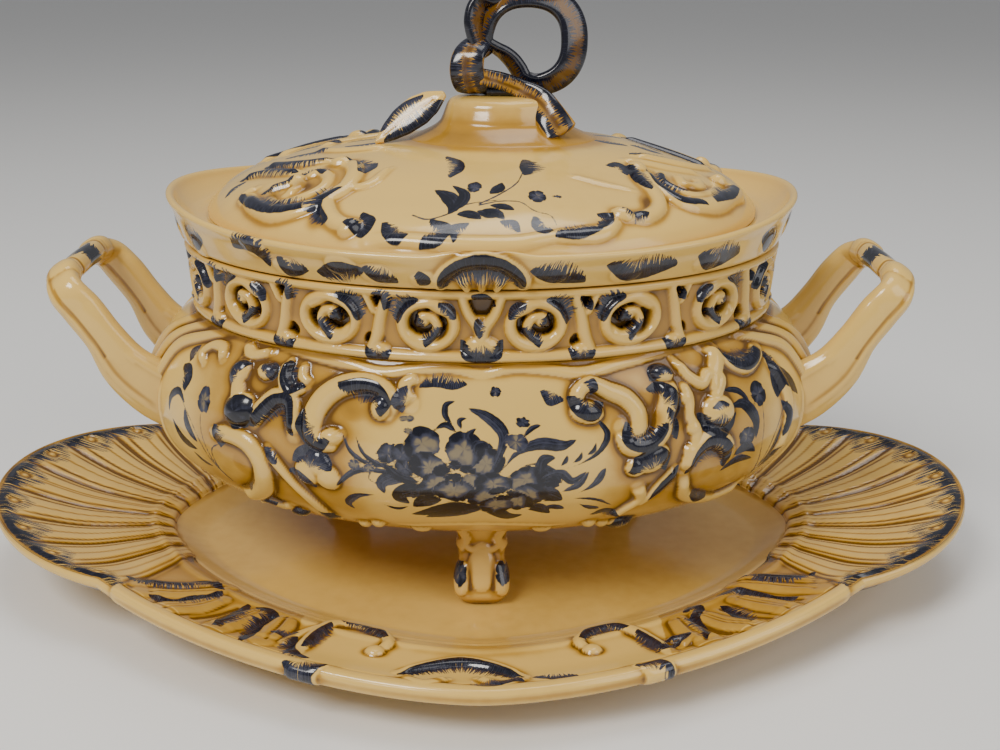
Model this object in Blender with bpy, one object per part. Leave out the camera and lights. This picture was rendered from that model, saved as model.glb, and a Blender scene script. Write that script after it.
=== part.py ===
"""A footed oval soup tureen with its lid and its shell-ended stand, in metres, +Z up.

The origin is at the middle of the stand's underside, X runs along the length and the front faces -Y.
The tureen is built the way a pottery makes it: bowl, gallery, feet, handles, lid and ribbon bow are
separate casts that are luted together, and each is a node of its own.
"""

import math

import bmesh
import bpy
from mathutils import Vector

# --- Driving sizes ---------------------------------------------------------------------------

SEAT_GAP = 0.0003  # between luted or resting pieces
RING_POINTS = 64  # points around every oval section

# The stand, an oval dish that ends in two raised fans
STAND_HALF_LENGTH = 0.236
STAND_HALF_WIDTH = 0.166
STAND_LOBE_HALF_LENGTH = 0.222
STAND_LOBE_POWER = 1.65
FAN_HUB_X = 0.115
FAN_SPREAD = math.radians(64)
FAN_TAPER = 0.145
STAND_EDGE_Z = 0.0240
STAND_END_LIFT = 0.0190
STAND_EDGE_THICKNESS = 0.0062
STAND_FLOOR_Z = 0.0120
STAND_FLOOR_THICKNESS = 0.0055
STAND_FOOT_RING = (0.124, 0.088)
FOOT_RING_WIDTH = 0.007
WELL_RIM = (0.158, 0.124)
WELL_RIM_Z = 0.0200
WELL_FLOOR = (0.140, 0.106)
WELL_POWER = 1.65

# The bowl
BOWL_HALF_LENGTH = 0.157
BOWL_HALF_WIDTH = 0.113
BELLY_Z = 0.090
BOWL_BASE_Z = 0.0425
BOWL_WALL = 0.0048
NECK_HALF_LENGTH = 0.1275
NECK_HALF_WIDTH = 0.0955
NECK_LOW_Z = 0.1350
NECK_HIGH_Z = 0.1632
RIM_HALF_LENGTH = 0.1425
RIM_HALF_WIDTH = 0.1125
RIM_Z = 0.1802
RIM_END_LIFT = 0.0070
LIP_THICKNESS = 0.0040
LEDGE_Z = 0.1765
LEDGE_REACH = 0.0110  # from the neck's outer face in to the ledge's inner edge, at the ends
LEDGE_INNER_HALF_LENGTH = NECK_HALF_LENGTH - LEDGE_REACH

# The pierced gallery round the neck
GALLERY_THICKNESS = 0.0056
GALLERY_HOLES = 18
GALLERY_HOLE_RADIUS = 0.0085

# Feet
FOOT_WIDTH = 0.0250
FOOT_SPREAD = 0.0655  # from the middle to the front foot, in plan
BACK_FOOT_X = 0.070
BACK_FOOT_Y = 0.045

# Handles
HANDLE_HALF_GAUGE = 0.034  # from the middle of the tureen's end to the middle of one arm
HANDLE_TOP_Z = 0.1480
HANDLE_OVERHANG = 0.0295  # from the belly's end to the crossbar's middle
HANDLE_REACH = BOWL_HALF_LENGTH + HANDLE_OVERHANG
HANDLE_ARM_THICKNESS = 0.0110
HANDLE_BASE_DEPTH = 0.0290
HANDLE_ARM_DEPTH = 0.0185
HANDLE_BAR_DEPTH = 0.0150

# The lid
LID_PLAY = 0.0005
LID_REST = 0.0073  # how far the lid's flange lies on the ledge, at the ends
LID_HALF_LENGTH = LEDGE_INNER_HALF_LENGTH + LID_REST
LID_HALF_WIDTH = RIM_HALF_WIDTH - LIP_THICKNESS - LID_PLAY
LID_WALL = 0.0045
LID_SHOULDER_Z = 0.1965
LID_CROWN_Z = 0.2080
LID_LIP_DEPTH = 0.0075
LID_LIP_PLAY = 0.0020
LID_LIP_THICKNESS = 0.0040
PEDESTAL_TOP_Z = 0.2265
PEDESTAL_SHIFT_X = 0.0090
PEDESTAL_HALF_LENGTH = 0.0245
PEDESTAL_HALF_WIDTH = 0.0175

# The ribbon bow on the lid
RIBBON_WIDTH = 0.0125
RIBBON_THICKNESS = 0.0046
BOW_X = 0.0210  # the middle of the loop
BOW_HALF_LENGTH = 0.0195
BOW_HALF_HEIGHT = 0.0190
BOW_LIFT = 0.0048  # from the pedestal to the loop's underside
LEAF_LENGTH = 0.0360
LEAF_RISE = 0.0191  # from the lid's crown up to where the leaf leans on the pedestal's flank
LEAF_WIDTH = 0.0150
LEAF_THICKNESS = 0.0042


# --- Small helpers ---------------------------------------------------------------------------


def clear_scene():
    """Removes whatever the file held before."""
    for obj in list(bpy.data.objects):
        bpy.data.objects.remove(obj, do_unlink=True)


def new_collection(name, helper=False):
    """Adds a collection to the scene. A helper's objects are neither rendered nor built."""
    made = bpy.data.collections.new(name)
    made.hide_render = helper
    bpy.context.scene.collection.children.link(made)
    return made


def glaze(name, colour, roughness):
    """A Principled BSDF for one part of the glazed ware."""
    made = bpy.data.materials.new(name)
    made.use_nodes = True
    shader = made.node_tree.nodes["Principled BSDF"]
    shader.inputs["Base Color"].default_value = (*colour, 1.0)
    shader.inputs["Roughness"].default_value = roughness
    shader.inputs["Metallic"].default_value = 0.0
    return made


def blend(low, high, share):
    """The value that lies share of the way from low to high."""
    return low + (high - low) * share


def oval(half_length, half_width, z, power=2.0, shift_x=0.0, lift=0.0):
    """One superellipse ring, anticlockwise from +X. Its ends rise by lift."""
    ring = []
    for i in range(RING_POINTS):
        angle = 2 * math.pi * i / RING_POINTS
        c, s = math.cos(angle), math.sin(angle)
        x = math.copysign(abs(c) ** (2 / power), c) * half_length
        y = math.copysign(abs(s) ** (2 / power), s) * half_width
        ring.append(Vector((x + shift_x, y, z + lift * c**4)))
    return ring


def ring_solid(name, rings, collection, closed=False):
    """A solid through rings of equally many points: capped at both ends, or closed on itself."""
    mesh = bmesh.new()
    loops = [[mesh.verts.new(point) for point in ring] for ring in rings]
    pairs = list(zip(loops, loops[1:] + loops[:1] if closed else loops[1:]))
    for low, high in pairs:
        for i in range(len(low)):
            j = (i + 1) % len(low)
            mesh.faces.new((low[i], low[j], high[j], high[i]))
    if not closed:
        mesh.faces.new(reversed(loops[0]))
        mesh.faces.new(loops[-1])
    bmesh.ops.recalc_face_normals(mesh, faces=mesh.faces)
    data = bpy.data.meshes.new(name)
    mesh.to_mesh(data)
    mesh.free()
    data.shade_smooth()
    data.set_sharp_from_angle(angle=math.radians(50))
    obj = bpy.data.objects.new(name, data)
    collection.objects.link(obj)
    return obj


def sweep(name, stations, collection, closed=False, sides=12, power=2.6):
    """A bar along stations of (centre, broad direction, half breadth, half thickness)."""
    rings = []
    count = len(stations)
    for i, (centre, broad, half_breadth, half_thickness) in enumerate(stations):
        before = stations[i - 1 if closed else max(i - 1, 0)][0]
        after = stations[(i + 1) % count if closed else min(i + 1, count - 1)][0]
        along = (Vector(after) - Vector(before)).normalized()
        across = Vector(broad)
        across = (across - along * across.dot(along)).normalized()
        normal = along.cross(across)
        ring = []
        for k in range(sides):
            angle = 2 * math.pi * k / sides
            c, s = math.cos(angle), math.sin(angle)
            u = math.copysign(abs(c) ** (2 / power), c) * half_breadth
            v = math.copysign(abs(s) ** (2 / power), s) * half_thickness
            ring.append(Vector(centre) + across * u + normal * v)
        rings.append(ring)
    return ring_solid(name, rings, collection, closed)


def boolean(obj, other, operation):
    """Adds a Boolean modifier with the exact solver."""
    modifier = obj.modifiers.new(f"{operation.lower()}_{other.name}", "BOOLEAN")
    modifier.operation = operation
    modifier.solver = "EXACT"
    modifier.object = other


def as_helper(obj):
    """Keeps an object out of the build."""
    obj.hide_render = True
    obj.display_type = "WIRE"
    return obj


# --- The stand -------------------------------------------------------------------------------


def stand_outline_radius(angle):
    """Distance from the middle to the edge: the greater of the lobed oval and the end fans."""
    c, s = abs(math.cos(angle)), abs(math.sin(angle))
    lobe = (
        (c / STAND_LOBE_HALF_LENGTH) ** STAND_LOBE_POWER
        + (s / STAND_HALF_WIDTH) ** STAND_LOBE_POWER
    ) ** (-1 / STAND_LOBE_POWER)
    fan_radius = STAND_HALF_LENGTH - FAN_HUB_X
    turn = 0.0
    radius = lobe
    for _ in range(12):
        swept = fan_radius * (1 - FAN_TAPER * (turn / FAN_SPREAD) ** 2)
        inside = swept**2 - (FAN_HUB_X * s) ** 2
        radius = FAN_HUB_X * c + math.sqrt(max(inside, 0.0))
        turn = math.atan2(radius * s, radius * c - FAN_HUB_X)
    return max(lobe, radius) if turn < FAN_SPREAD else lobe


def stand_ring(inset, z, lift):
    """A ring of the stand's outline, moved in by inset. Its ends rise by lift."""
    ring = []
    for i in range(RING_POINTS):
        angle = 2 * math.pi * i / RING_POINTS
        radius = stand_outline_radius(angle) - inset
        x, y = radius * math.cos(angle), radius * math.sin(angle)
        ring.append(Vector((x, y, z + lift * abs(x / STAND_HALF_LENGTH) ** 2.2)))
    return ring


def build_stand(collection):
    """The dish: a foot ring, a flat floor, a well wall, a broad rim and a thick rounded edge."""
    under_z = STAND_FLOOR_Z - STAND_FLOOR_THICKNESS
    ring_a, ring_b = STAND_FOOT_RING
    well_a, well_b = WELL_RIM
    floor_a, floor_b = WELL_FLOOR
    edge, thickness = STAND_EDGE_Z, STAND_EDGE_THICKNESS
    lift = STAND_END_LIFT
    inner_a, inner_b = ring_a - FOOT_RING_WIDTH, ring_b - FOOT_RING_WIDTH
    rings = [
        oval(inner_a - 0.002, inner_b - 0.002, under_z, WELL_POWER),
        oval(inner_a, inner_b, 0.0, WELL_POWER),
        oval(ring_a, ring_b, 0.0, WELL_POWER),
        oval(ring_a + 0.002, ring_b + 0.002, under_z, WELL_POWER),
        oval(floor_a, floor_b, under_z + 0.001, WELL_POWER),
        oval(well_a, well_b, WELL_RIM_Z - thickness, WELL_POWER),
        stand_ring(0.004, edge - thickness, lift),
        stand_ring(0.0, edge - thickness * 0.65, lift),
        stand_ring(0.0, edge - thickness * 0.25, lift),
        stand_ring(0.003, edge, lift),
        oval(well_a, well_b, WELL_RIM_Z, WELL_POWER),
        oval(floor_a, floor_b, STAND_FLOOR_Z, WELL_POWER),
    ]
    return ring_solid("stand", rings, collection)


# --- The bowl --------------------------------------------------------------------------------


def bowl_outside(offset=0.0):
    """The bowl's outer rings from its base to its lip, moved outwards by offset."""
    length, width = BOWL_HALF_LENGTH + offset, BOWL_HALF_WIDTH + offset
    neck_length, neck_width = NECK_HALF_LENGTH + offset, NECK_HALF_WIDTH + offset
    rim_length, rim_width = RIM_HALF_LENGTH + offset, RIM_HALF_WIDTH + offset
    shoulder = GALLERY_THICKNESS + 0.0010
    rise = BELLY_Z - BOWL_BASE_Z
    fall = NECK_LOW_Z - BELLY_Z
    # shares of the belly's half length and half width, and of the rise from the base
    below = [(0.57, 0.52, 0.0), (0.69, 0.64, 0.07), (0.83, 0.80, 0.25), (0.94, 0.93, 0.53), (0.99, 0.988, 0.80)]
    above = [(0.995, 0.993, 0.25), (0.965, 0.965, 0.55), (0.915, 0.935, 0.82)]
    rings = [oval(length * a, width * b, BOWL_BASE_Z - offset + rise * h) for a, b, h in below]
    rings.append(oval(length, width, BELLY_Z))
    rings += [oval(length * a, width * b, BELLY_Z + fall * h) for a, b, h in above]
    return rings + [
        oval(neck_length + shoulder, neck_width + shoulder, NECK_LOW_Z - 0.0010),
        oval(neck_length, neck_width, NECK_LOW_Z + offset),
        oval(neck_length, neck_width, NECK_HIGH_Z - offset),
        oval(neck_length + shoulder, neck_width + shoulder, NECK_HIGH_Z + 0.0012),
        oval(rim_length - 0.0035, rim_width - 0.0040, blend(NECK_HIGH_Z, RIM_Z, 0.42), lift=RIM_END_LIFT * 0.4),
        oval(rim_length, rim_width, blend(NECK_HIGH_Z, RIM_Z, 0.86), lift=RIM_END_LIFT),
    ]


def build_bowl(collection):
    """An open shell: the belly, the neck that the gallery stands on, and a flared lip with a ledge for the lid."""
    wall = BOWL_WALL
    lip = LIP_THICKNESS
    rise = BELLY_Z - BOWL_BASE_Z
    fall = NECK_LOW_Z - BELLY_Z
    length, width = BOWL_HALF_LENGTH - wall, BOWL_HALF_WIDTH - wall
    neck_length, neck_width = NECK_HALF_LENGTH - wall, NECK_HALF_WIDTH - wall
    floor_z = BOWL_BASE_Z + wall
    rings = bowl_outside() + [
        oval(RIM_HALF_LENGTH - lip / 2, RIM_HALF_WIDTH - lip / 2, RIM_Z, lift=RIM_END_LIFT),
        oval(RIM_HALF_LENGTH - lip, RIM_HALF_WIDTH - lip, RIM_Z - 0.0010, lift=RIM_END_LIFT),
        oval(LID_HALF_LENGTH + 0.0008, RIM_HALF_WIDTH - lip, LEDGE_Z),
        oval(LEDGE_INNER_HALF_LENGTH, neck_width, LEDGE_Z),
        oval(LEDGE_INNER_HALF_LENGTH, neck_width, LEDGE_Z - wall),
        oval(neck_length, neck_width, NECK_HIGH_Z - wall / 2),
        oval(neck_length, neck_width, NECK_LOW_Z + wall / 3),
        oval(length * 0.960, width * 0.960, BELLY_Z + fall * 0.52),
        oval(length, width, BELLY_Z),
        oval(length * 0.935, width * 0.925, BELLY_Z - rise * 0.46),
        oval(length * 0.82, width * 0.78, floor_z + rise * 0.18),
        oval(length * 0.60, width * 0.54, floor_z),
    ]
    return ring_solid("bowl", rings, collection)


def build_gallery(collection, cutters):
    """An oval band round the neck, pierced by a row of round openings."""
    low = NECK_LOW_Z + SEAT_GAP
    high = NECK_HIGH_Z - SEAT_GAP
    inner_length, inner_width = NECK_HALF_LENGTH + SEAT_GAP, NECK_HALF_WIDTH + SEAT_GAP
    outer_length, outer_width = inner_length + GALLERY_THICKNESS, inner_width + GALLERY_THICKNESS
    rounding = GALLERY_THICKNESS * 0.3
    rings = [
        oval(inner_length, inner_width, low),
        oval(outer_length - rounding, outer_width - rounding, low),
        oval(outer_length, outer_width, low + rounding),
        oval(outer_length, outer_width, high - rounding),
        oval(outer_length - rounding, outer_width - rounding, high),
        oval(inner_length, inner_width, high),
    ]
    band = ring_solid("gallery", rings, collection, closed=True)
    middle = (low + high) / 2
    punch = bmesh.new()
    for i in range(GALLERY_HOLES):
        angle = 2 * math.pi * (i + 0.5) / GALLERY_HOLES
        x, y = outer_length * math.cos(angle), outer_width * math.sin(angle)
        outward = Vector((math.cos(angle) / outer_length, math.sin(angle) / outer_width, 0)).normalized()
        place = outward.to_track_quat("Z", "Y").to_matrix().to_4x4()
        place.translation = Vector((x, y, middle))
        bmesh.ops.create_cone(
            punch, cap_ends=True, segments=12, radius1=GALLERY_HOLE_RADIUS, radius2=GALLERY_HOLE_RADIUS,
            depth=GALLERY_THICKNESS * 3, matrix=place,
        )
    data = bpy.data.meshes.new("gallery_punch")
    punch.to_mesh(data)
    punch.free()
    tool = as_helper(bpy.data.objects.new("gallery_punch", data))
    cutters.objects.link(tool)
    boolean(band, tool, "DIFFERENCE")
    return band


# --- Feet and handles ------------------------------------------------------------------------


def build_foot(name, place, envelope, collection):
    """A short scrolled leg under the belly. Place is where its toe stands, in plan."""
    reach = math.hypot(*place)
    direction = Vector((place[0], place[1], 0)) / reach
    side = Vector((-direction.y, direction.x, 0))
    sole = STAND_FLOOR_Z + SEAT_GAP
    top = BOWL_BASE_Z + 0.014
    half = FOOT_WIDTH / 2
    # distance out from the toe's middle, share of the height, share of the half width, half thickness
    shape = (
        (0.0040, 0.00, 0.80, 0.0068),
        (0.0055, 0.10, 1.00, 0.0084),
        (0.0030, 0.34, 0.86, 0.0070),
        (0.0000, 0.60, 0.86, 0.0070),
        (0.0020, 1.00, 1.15, 0.0095),
    )
    rings = []
    for out, share, breadth, thickness in shape:
        centre = direction * (reach + out) + Vector((0, 0, blend(sole, top, share)))
        ring = []
        for k in range(16):
            angle = 2 * math.pi * k / 16
            c, s = math.cos(angle), math.sin(angle)
            u = math.copysign(abs(c) ** 0.75, c) * half * breadth
            v = math.copysign(abs(s) ** 0.75, s) * thickness
            ring.append(centre + side * u + direction * v)
        rings.append(ring)
    foot = ring_solid(name, rings, collection)
    boolean(foot, envelope, "DIFFERENCE")
    return foot


def build_handle(name, side, envelope, collection):
    """A loop of two deep arms that rise from the belly and meet in a bar across the top."""
    gauge, top, reach = HANDLE_HALF_GAUGE, HANDLE_TOP_Z, HANDLE_REACH
    root_x, root_z = BOWL_HALF_LENGTH - 0.013, BELLY_Z + 0.006
    base_half, arm_half, bar_half = HANDLE_BASE_DEPTH / 2, HANDLE_ARM_DEPTH / 2, HANDLE_BAR_DEPTH / 2
    thin = HANDLE_ARM_THICKNESS / 2
    broad = Vector((side * 0.84, 0, -0.54))
    # share of the reach, share of the rise, share of the gauge, half depth
    shape = (
        (0.00, 0.00, 1.00, base_half),
        (0.37, 0.26, 1.03, blend(arm_half, base_half, 0.55)),
        (0.58, 0.54, 1.04, arm_half),
        (0.78, 0.78, 1.03, arm_half),
        (0.93, 0.93, 1.00, blend(arm_half, bar_half, 0.4)),
        (1.00, 1.00, 0.80, bar_half),
        (1.00, 1.03, 0.28, bar_half * 0.94),
    )
    arm = [(blend(root_x, reach, a), gauge * g, blend(root_z, top, b), w) for a, b, g, w in shape]
    path = [(x, -y, z, w) for x, y, z, w in arm] + list(reversed(arm))
    stations = [(Vector((side * x, y, z)), broad, w, thin) for x, y, z, w in path]
    handle = sweep(name, stations, collection, sides=14)
    boolean(handle, envelope, "DIFFERENCE")
    return handle


# --- The lid ---------------------------------------------------------------------------------


def lid_outside(offset=0.0):
    """The lid's upper rings from its edge to the pedestal's top, moved outwards by offset."""
    length, width = LID_HALF_LENGTH + offset, LID_HALF_WIDTH + offset
    base = LEDGE_Z + SEAT_GAP
    top_length, top_width = PEDESTAL_HALF_LENGTH + offset, PEDESTAL_HALF_WIDTH + offset
    shift = PEDESTAL_SHIFT_X
    shoulder, crown = LID_SHOULDER_Z + offset, LID_CROWN_Z + offset
    return [
        oval(length, width, base),
        oval(length, width, blend(base, shoulder, 0.12)),
        oval(length * 0.985, width * 0.982, blend(base, shoulder, 0.30)),
        oval(length * 0.940, width * 0.925, blend(base, shoulder, 0.58)),
        oval(length * 0.870, width * 0.840, blend(base, shoulder, 0.82)),
        oval(length * 0.790, width * 0.750, shoulder),
        oval(length * 0.670, width * 0.620, blend(shoulder, crown, 0.42)),
        oval(length * 0.430, width * 0.370, crown - 0.0006, shift_x=shift),
        oval(top_length + 0.0180, top_width + 0.0140, crown + 0.0007, shift_x=shift),
        oval(top_length + 0.0075, top_width + 0.0065, blend(crown, PEDESTAL_TOP_Z, 0.24), shift_x=shift),
        oval(top_length + 0.0025, top_width + 0.0025, blend(crown, PEDESTAL_TOP_Z, 0.52), shift_x=shift),
        oval(top_length, top_width, blend(crown, PEDESTAL_TOP_Z, 0.88) + offset, shift_x=shift),
        oval(top_length - 0.0020, top_width - 0.0020, PEDESTAL_TOP_Z + offset, shift_x=shift),
    ]


def build_lid(collection):
    """A domed shell with a pedestal, a flange that rests on the ledge and a locating lip under it."""
    wall = LID_WALL
    base = LEDGE_Z + SEAT_GAP
    lip_length = LEDGE_INNER_HALF_LENGTH - LID_LIP_PLAY
    lip_width = NECK_HALF_WIDTH - BOWL_WALL - LID_LIP_PLAY
    inner_length, inner_width = lip_length - LID_LIP_THICKNESS, lip_width - LID_LIP_THICKNESS
    crown = LID_CROWN_Z - wall
    rings = list(reversed(lid_outside()))
    rings += [
        oval(lip_length, lip_width, base),
        oval(lip_length, lip_width, base - LID_LIP_DEPTH),
        oval(inner_length, inner_width, base - LID_LIP_DEPTH),
        oval(inner_length, inner_width, blend(base, LID_SHOULDER_Z, 0.20)),
        oval(inner_length * 0.86, inner_width * 0.86, LID_SHOULDER_Z - wall * 1.1),
        oval(inner_length * 0.62, inner_width * 0.62, blend(LID_SHOULDER_Z, LID_CROWN_Z, 0.45) - wall),
        oval(inner_length * 0.30, inner_width * 0.30, crown),
        oval(PEDESTAL_HALF_LENGTH * 0.55, PEDESTAL_HALF_WIDTH * 0.55, PEDESTAL_TOP_Z - wall * 1.6, shift_x=PEDESTAL_SHIFT_X * 0.8),
    ]
    return ring_solid("lid", rings, collection)


def bow_piece(name, path, collection, closed=False):
    """A length of ribbon along (x, y, z, broad direction, share of the ribbon's width)."""
    wide, thin = RIBBON_WIDTH / 2, RIBBON_THICKNESS / 2
    stations = [(Vector((x, y, z)), broad, wide * share, thin) for x, y, z, broad, share in path]
    return sweep(name, stations, collection, closed, sides=10, power=3.0)


def build_bow(collection, cutters, envelope):
    """The ribbon bow that the lid is lifted by: an upright loop, a second strand, a rolled curl and a tail."""
    base = PEDESTAL_TOP_Z
    low = base + BOW_LIFT
    half_x, half_z = BOW_HALF_LENGTH, BOW_HALF_HEIGHT
    left, right, middle, top = BOW_X - half_x, BOW_X + half_x, low + half_z, low + 2 * half_z
    loop = []
    count = 22
    for i in range(count):
        angle = 2 * math.pi * i / count
        c, s = math.cos(angle), math.sin(angle)
        x = BOW_X + half_x * math.copysign(abs(c) ** 0.86, c)
        z = middle + half_z * math.copysign(abs(s) ** 0.86, s)
        cut = max(0.0, -c) * max(0.0, -s)  # the lower left corner is drawn in
        x, z = x + 0.011 * cut, z + 0.013 * cut
        turn = 0.9 + 0.5 * c
        loop.append((x, 0.0015 * math.sin(2 * angle), z, Vector((c * turn, 0.75, s * turn)), 0.92 + 0.12 * c))
    bow = bow_piece("ribbon_bow", loop, collection, closed=True)
    slant = Vector((0.8, 0.6, 0.0))
    strand = [
        (left - 0.0010, -0.0010, middle - 0.006, slant, 0.80),
        (left - 0.0040, -0.0020, middle + 0.002, slant, 0.80),
        (left - 0.0052, -0.0020, middle + 0.009, slant, 0.80),
        (left - 0.0030, -0.0005, top - 0.0045, slant, 0.85),
        (left + 0.0050, 0.0015, top - 0.0012, Vector((0.2, 1.0, 0.3)), 0.80),
        (BOW_X - 0.0030, 0.0010, top - 0.0005, Vector((0.2, 1.0, 0.3)), 0.60),
    ]
    across = Vector((1.0, 0.0, 0.0))
    curl = [
        (left + 0.0015, 0.0035, middle - 0.0020, across, 0.70),
        (left - 0.0035, -0.0025, middle - 0.0015, Vector((1.0, -0.3, -0.2)), 0.95),
        (left - 0.0075, -0.0070, middle - 0.0060, Vector((1.0, -0.2, 0.0)), 1.15),
        (left - 0.0085, -0.0080, middle - 0.0125, across, 1.20),
        (left - 0.0065, -0.0050, base + 0.0045, across, 1.15),
        (left - 0.0030, 0.0010, base + 0.0025, across, 1.00),
        (left + 0.0020, 0.0050, base + 0.0035, across, 0.80),
    ]
    upright = Vector((0.35, -0.25, 1.0))
    tail = [
        (left - 0.0020, -0.0065, base + 0.0085, Vector((0.1, 0.2, 1.0)), 0.60),
        (left + 0.0065, -0.0065, base + 0.0068, upright, 0.62),
        (left + 0.0150, -0.0060, base + 0.0035, upright, 0.70),
        (left + 0.0230, -0.0100, base - 0.0010, Vector((0.75, -0.2, 0.6)), 0.95),
        (left + 0.0285, -0.0165, base - 0.0075, Vector((0.9, 0.1, 0.4)), 1.10),
        (left + 0.0325, -0.0195, base - 0.0135, Vector((0.95, 0.2, 0.3)), 1.25),
    ]
    knot = [
        (left + 0.0010, 0.0005, base + 0.0020, Vector((0.0, 1.0, 0.0)), 1.00),
        (left + 0.0120, 0.0000, base + 0.0022, Vector((0.0, 1.0, 0.0)), 1.05),
        (BOW_X + 0.0050, 0.0000, base + 0.0030, Vector((0.0, 1.0, 0.0)), 0.90),
    ]
    for name, path in (("bow_strand", strand), ("bow_curl", curl), ("bow_tail", tail), ("bow_knot", knot)):
        boolean(bow, as_helper(bow_piece(name, path, cutters)), "UNION")
    boolean(bow, envelope, "DIFFERENCE")
    return bow


def build_leaf(collection, envelope):
    """The ribbon's free end, a pointed leaf that leans against the pedestal's left flank."""
    end = Vector((PEDESTAL_SHIFT_X - PEDESTAL_HALF_LENGTH - 0.0020, -0.0050, LID_CROWN_Z + LEAF_RISE))
    start = end + Vector((-0.815, -0.12, -0.565)).normalized() * LEAF_LENGTH
    broad = Vector((-0.42, 0.52, 0.74))
    stations = []
    for share, breadth in ((0.0, 0.14), (0.16, 0.58), (0.38, 0.92), (0.62, 1.0), (0.84, 0.74), (1.0, 0.26)):
        centre = start.lerp(end, share) + Vector((0, 0, 0.0010 * math.sin(math.pi * share)))
        stations.append((centre, broad, LEAF_WIDTH / 2 * breadth, LEAF_THICKNESS / 2 * (0.6 + 0.4 * breadth)))
    leaf = sweep("ribbon_leaf", stations, collection, sides=10, power=2.2)
    boolean(leaf, envelope, "DIFFERENCE")
    return leaf


# --- Assembly --------------------------------------------------------------------------------


def add_seat(name, z, parent, collection):
    """An empty where a lift-off piece rests. The pieces that lift with it are parented to it."""
    seat = bpy.data.objects.new(name, None)
    seat.location = (0.0, 0.0, z)
    collection.objects.link(seat)
    bpy.context.view_layer.update()
    attach([seat], parent)
    return seat


def attach(pieces, parent):
    """Parents the pieces and leaves them where they are."""
    for piece in pieces if parent else ():
        piece.parent = parent
        piece.matrix_parent_inverse = parent.matrix_world.inverted()


def main():
    """Builds every piece at rest, with the tureen on its stand and the lid on the tureen."""
    clear_scene()
    ware = new_collection("soup_tureen")
    cutters = new_collection("cutters", helper=True)
    cream = glaze("cream_glaze", (0.78, 0.66, 0.42), 0.18)
    amber = glaze("amber_glaze", (0.55, 0.34, 0.12), 0.20)
    blue = glaze("blue_glaze", (0.10, 0.13, 0.24), 0.20)
    bowl_envelope = as_helper(ring_solid("bowl_envelope", bowl_outside(SEAT_GAP), cutters))
    lid_envelope = as_helper(ring_solid("lid_envelope", lid_outside(SEAT_GAP), cutters))

    stand, bowl, lid = build_stand(ware), build_bowl(ware), build_lid(ware)
    gallery = build_gallery(ware, cutters)
    feet = [
        build_foot("foot_front", (0.0, -FOOT_SPREAD), bowl_envelope, ware),
        build_foot("foot_back_left", (-BACK_FOOT_X, BACK_FOOT_Y), bowl_envelope, ware),
        build_foot("foot_back_right", (BACK_FOOT_X, BACK_FOOT_Y), bowl_envelope, ware),
    ]
    handles = [build_handle(name, side, bowl_envelope, ware) for name, side in (("handle_left", -1), ("handle_right", 1))]
    bow, leaf = build_bow(ware, cutters, lid_envelope), build_leaf(ware, lid_envelope)

    tureen_seat = add_seat("tureen_seat", STAND_FLOOR_Z, None, ware)
    lid_seat = add_seat("lid_seat", LEDGE_Z, tureen_seat, ware)
    attach([bowl, gallery, *feet, *handles], tureen_seat)
    attach([lid, bow, leaf], lid_seat)
    for material, pieces in ((cream, [stand, bowl, lid, *feet, *handles]), (amber, [gallery]), (blue, [bow, leaf])):
        for piece in pieces:
            piece.data.materials.append(material)


main()
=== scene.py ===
"""A covered soup tureen on its own stand: cream glaze pooled amber in the hollows, painted by hand in cobalt.

Every sub-assembly is a class that holds its sizes in metres and builds its meshes with numpy. Relief and brushwork are
laid out in millimetres on a Chart of the surface, so a scroll, a feathered dab or a leaf is a path with a width.
"""

import logging
import math
from dataclasses import dataclass, field
from enum import Enum

import bpy
import numpy as np
from mathutils import Matrix, Vector


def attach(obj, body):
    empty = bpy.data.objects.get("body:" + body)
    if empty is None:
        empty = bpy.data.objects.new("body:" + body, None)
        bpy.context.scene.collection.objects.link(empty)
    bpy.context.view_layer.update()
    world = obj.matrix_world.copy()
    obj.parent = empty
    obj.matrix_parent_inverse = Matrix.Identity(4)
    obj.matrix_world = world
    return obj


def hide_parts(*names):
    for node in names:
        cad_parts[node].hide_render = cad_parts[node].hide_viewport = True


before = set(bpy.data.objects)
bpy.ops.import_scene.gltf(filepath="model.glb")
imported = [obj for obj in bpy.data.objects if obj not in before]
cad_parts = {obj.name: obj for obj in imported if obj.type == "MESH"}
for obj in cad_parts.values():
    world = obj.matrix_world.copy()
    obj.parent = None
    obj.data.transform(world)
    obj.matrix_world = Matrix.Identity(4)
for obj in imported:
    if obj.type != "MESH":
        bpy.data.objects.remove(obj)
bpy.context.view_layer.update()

Array = np.ndarray
Point = tuple[float, float]
Path = list[Point]
LOG = logging.getLogger("tureen")
MM = 0.001
NO_INK = -9.0
HAIR_DRAG = 1.25  # how much further than its drawn depth a dab's hairs run


class Body(Enum):
    """The three loose pieces that everything rides on."""

    STAND = "stand"
    TUREEN = "tureen"
    LID = "lid"


class Slot(Enum):
    """The record's material slots."""

    CREAM = "cream_glaze"
    AMBER = "amber_glaze"
    BLUE = "blue_glaze"


class Side(Enum):
    """Which end of the tureen a mirrored piece belongs to."""

    LEFT = -1
    RIGHT = 1


# --- Curves and grids ---------------------------------------------------------------------------------------------


def ease(low: float, high: float, value: Array) -> Array:
    """Smoothstep: 0 below low, 1 above high, and 3x^2 - 2x^3 between."""
    share = np.clip((value - low) / (high - low), 0.0, 1.0)
    return share * share * (3.0 - 2.0 * share)


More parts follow.
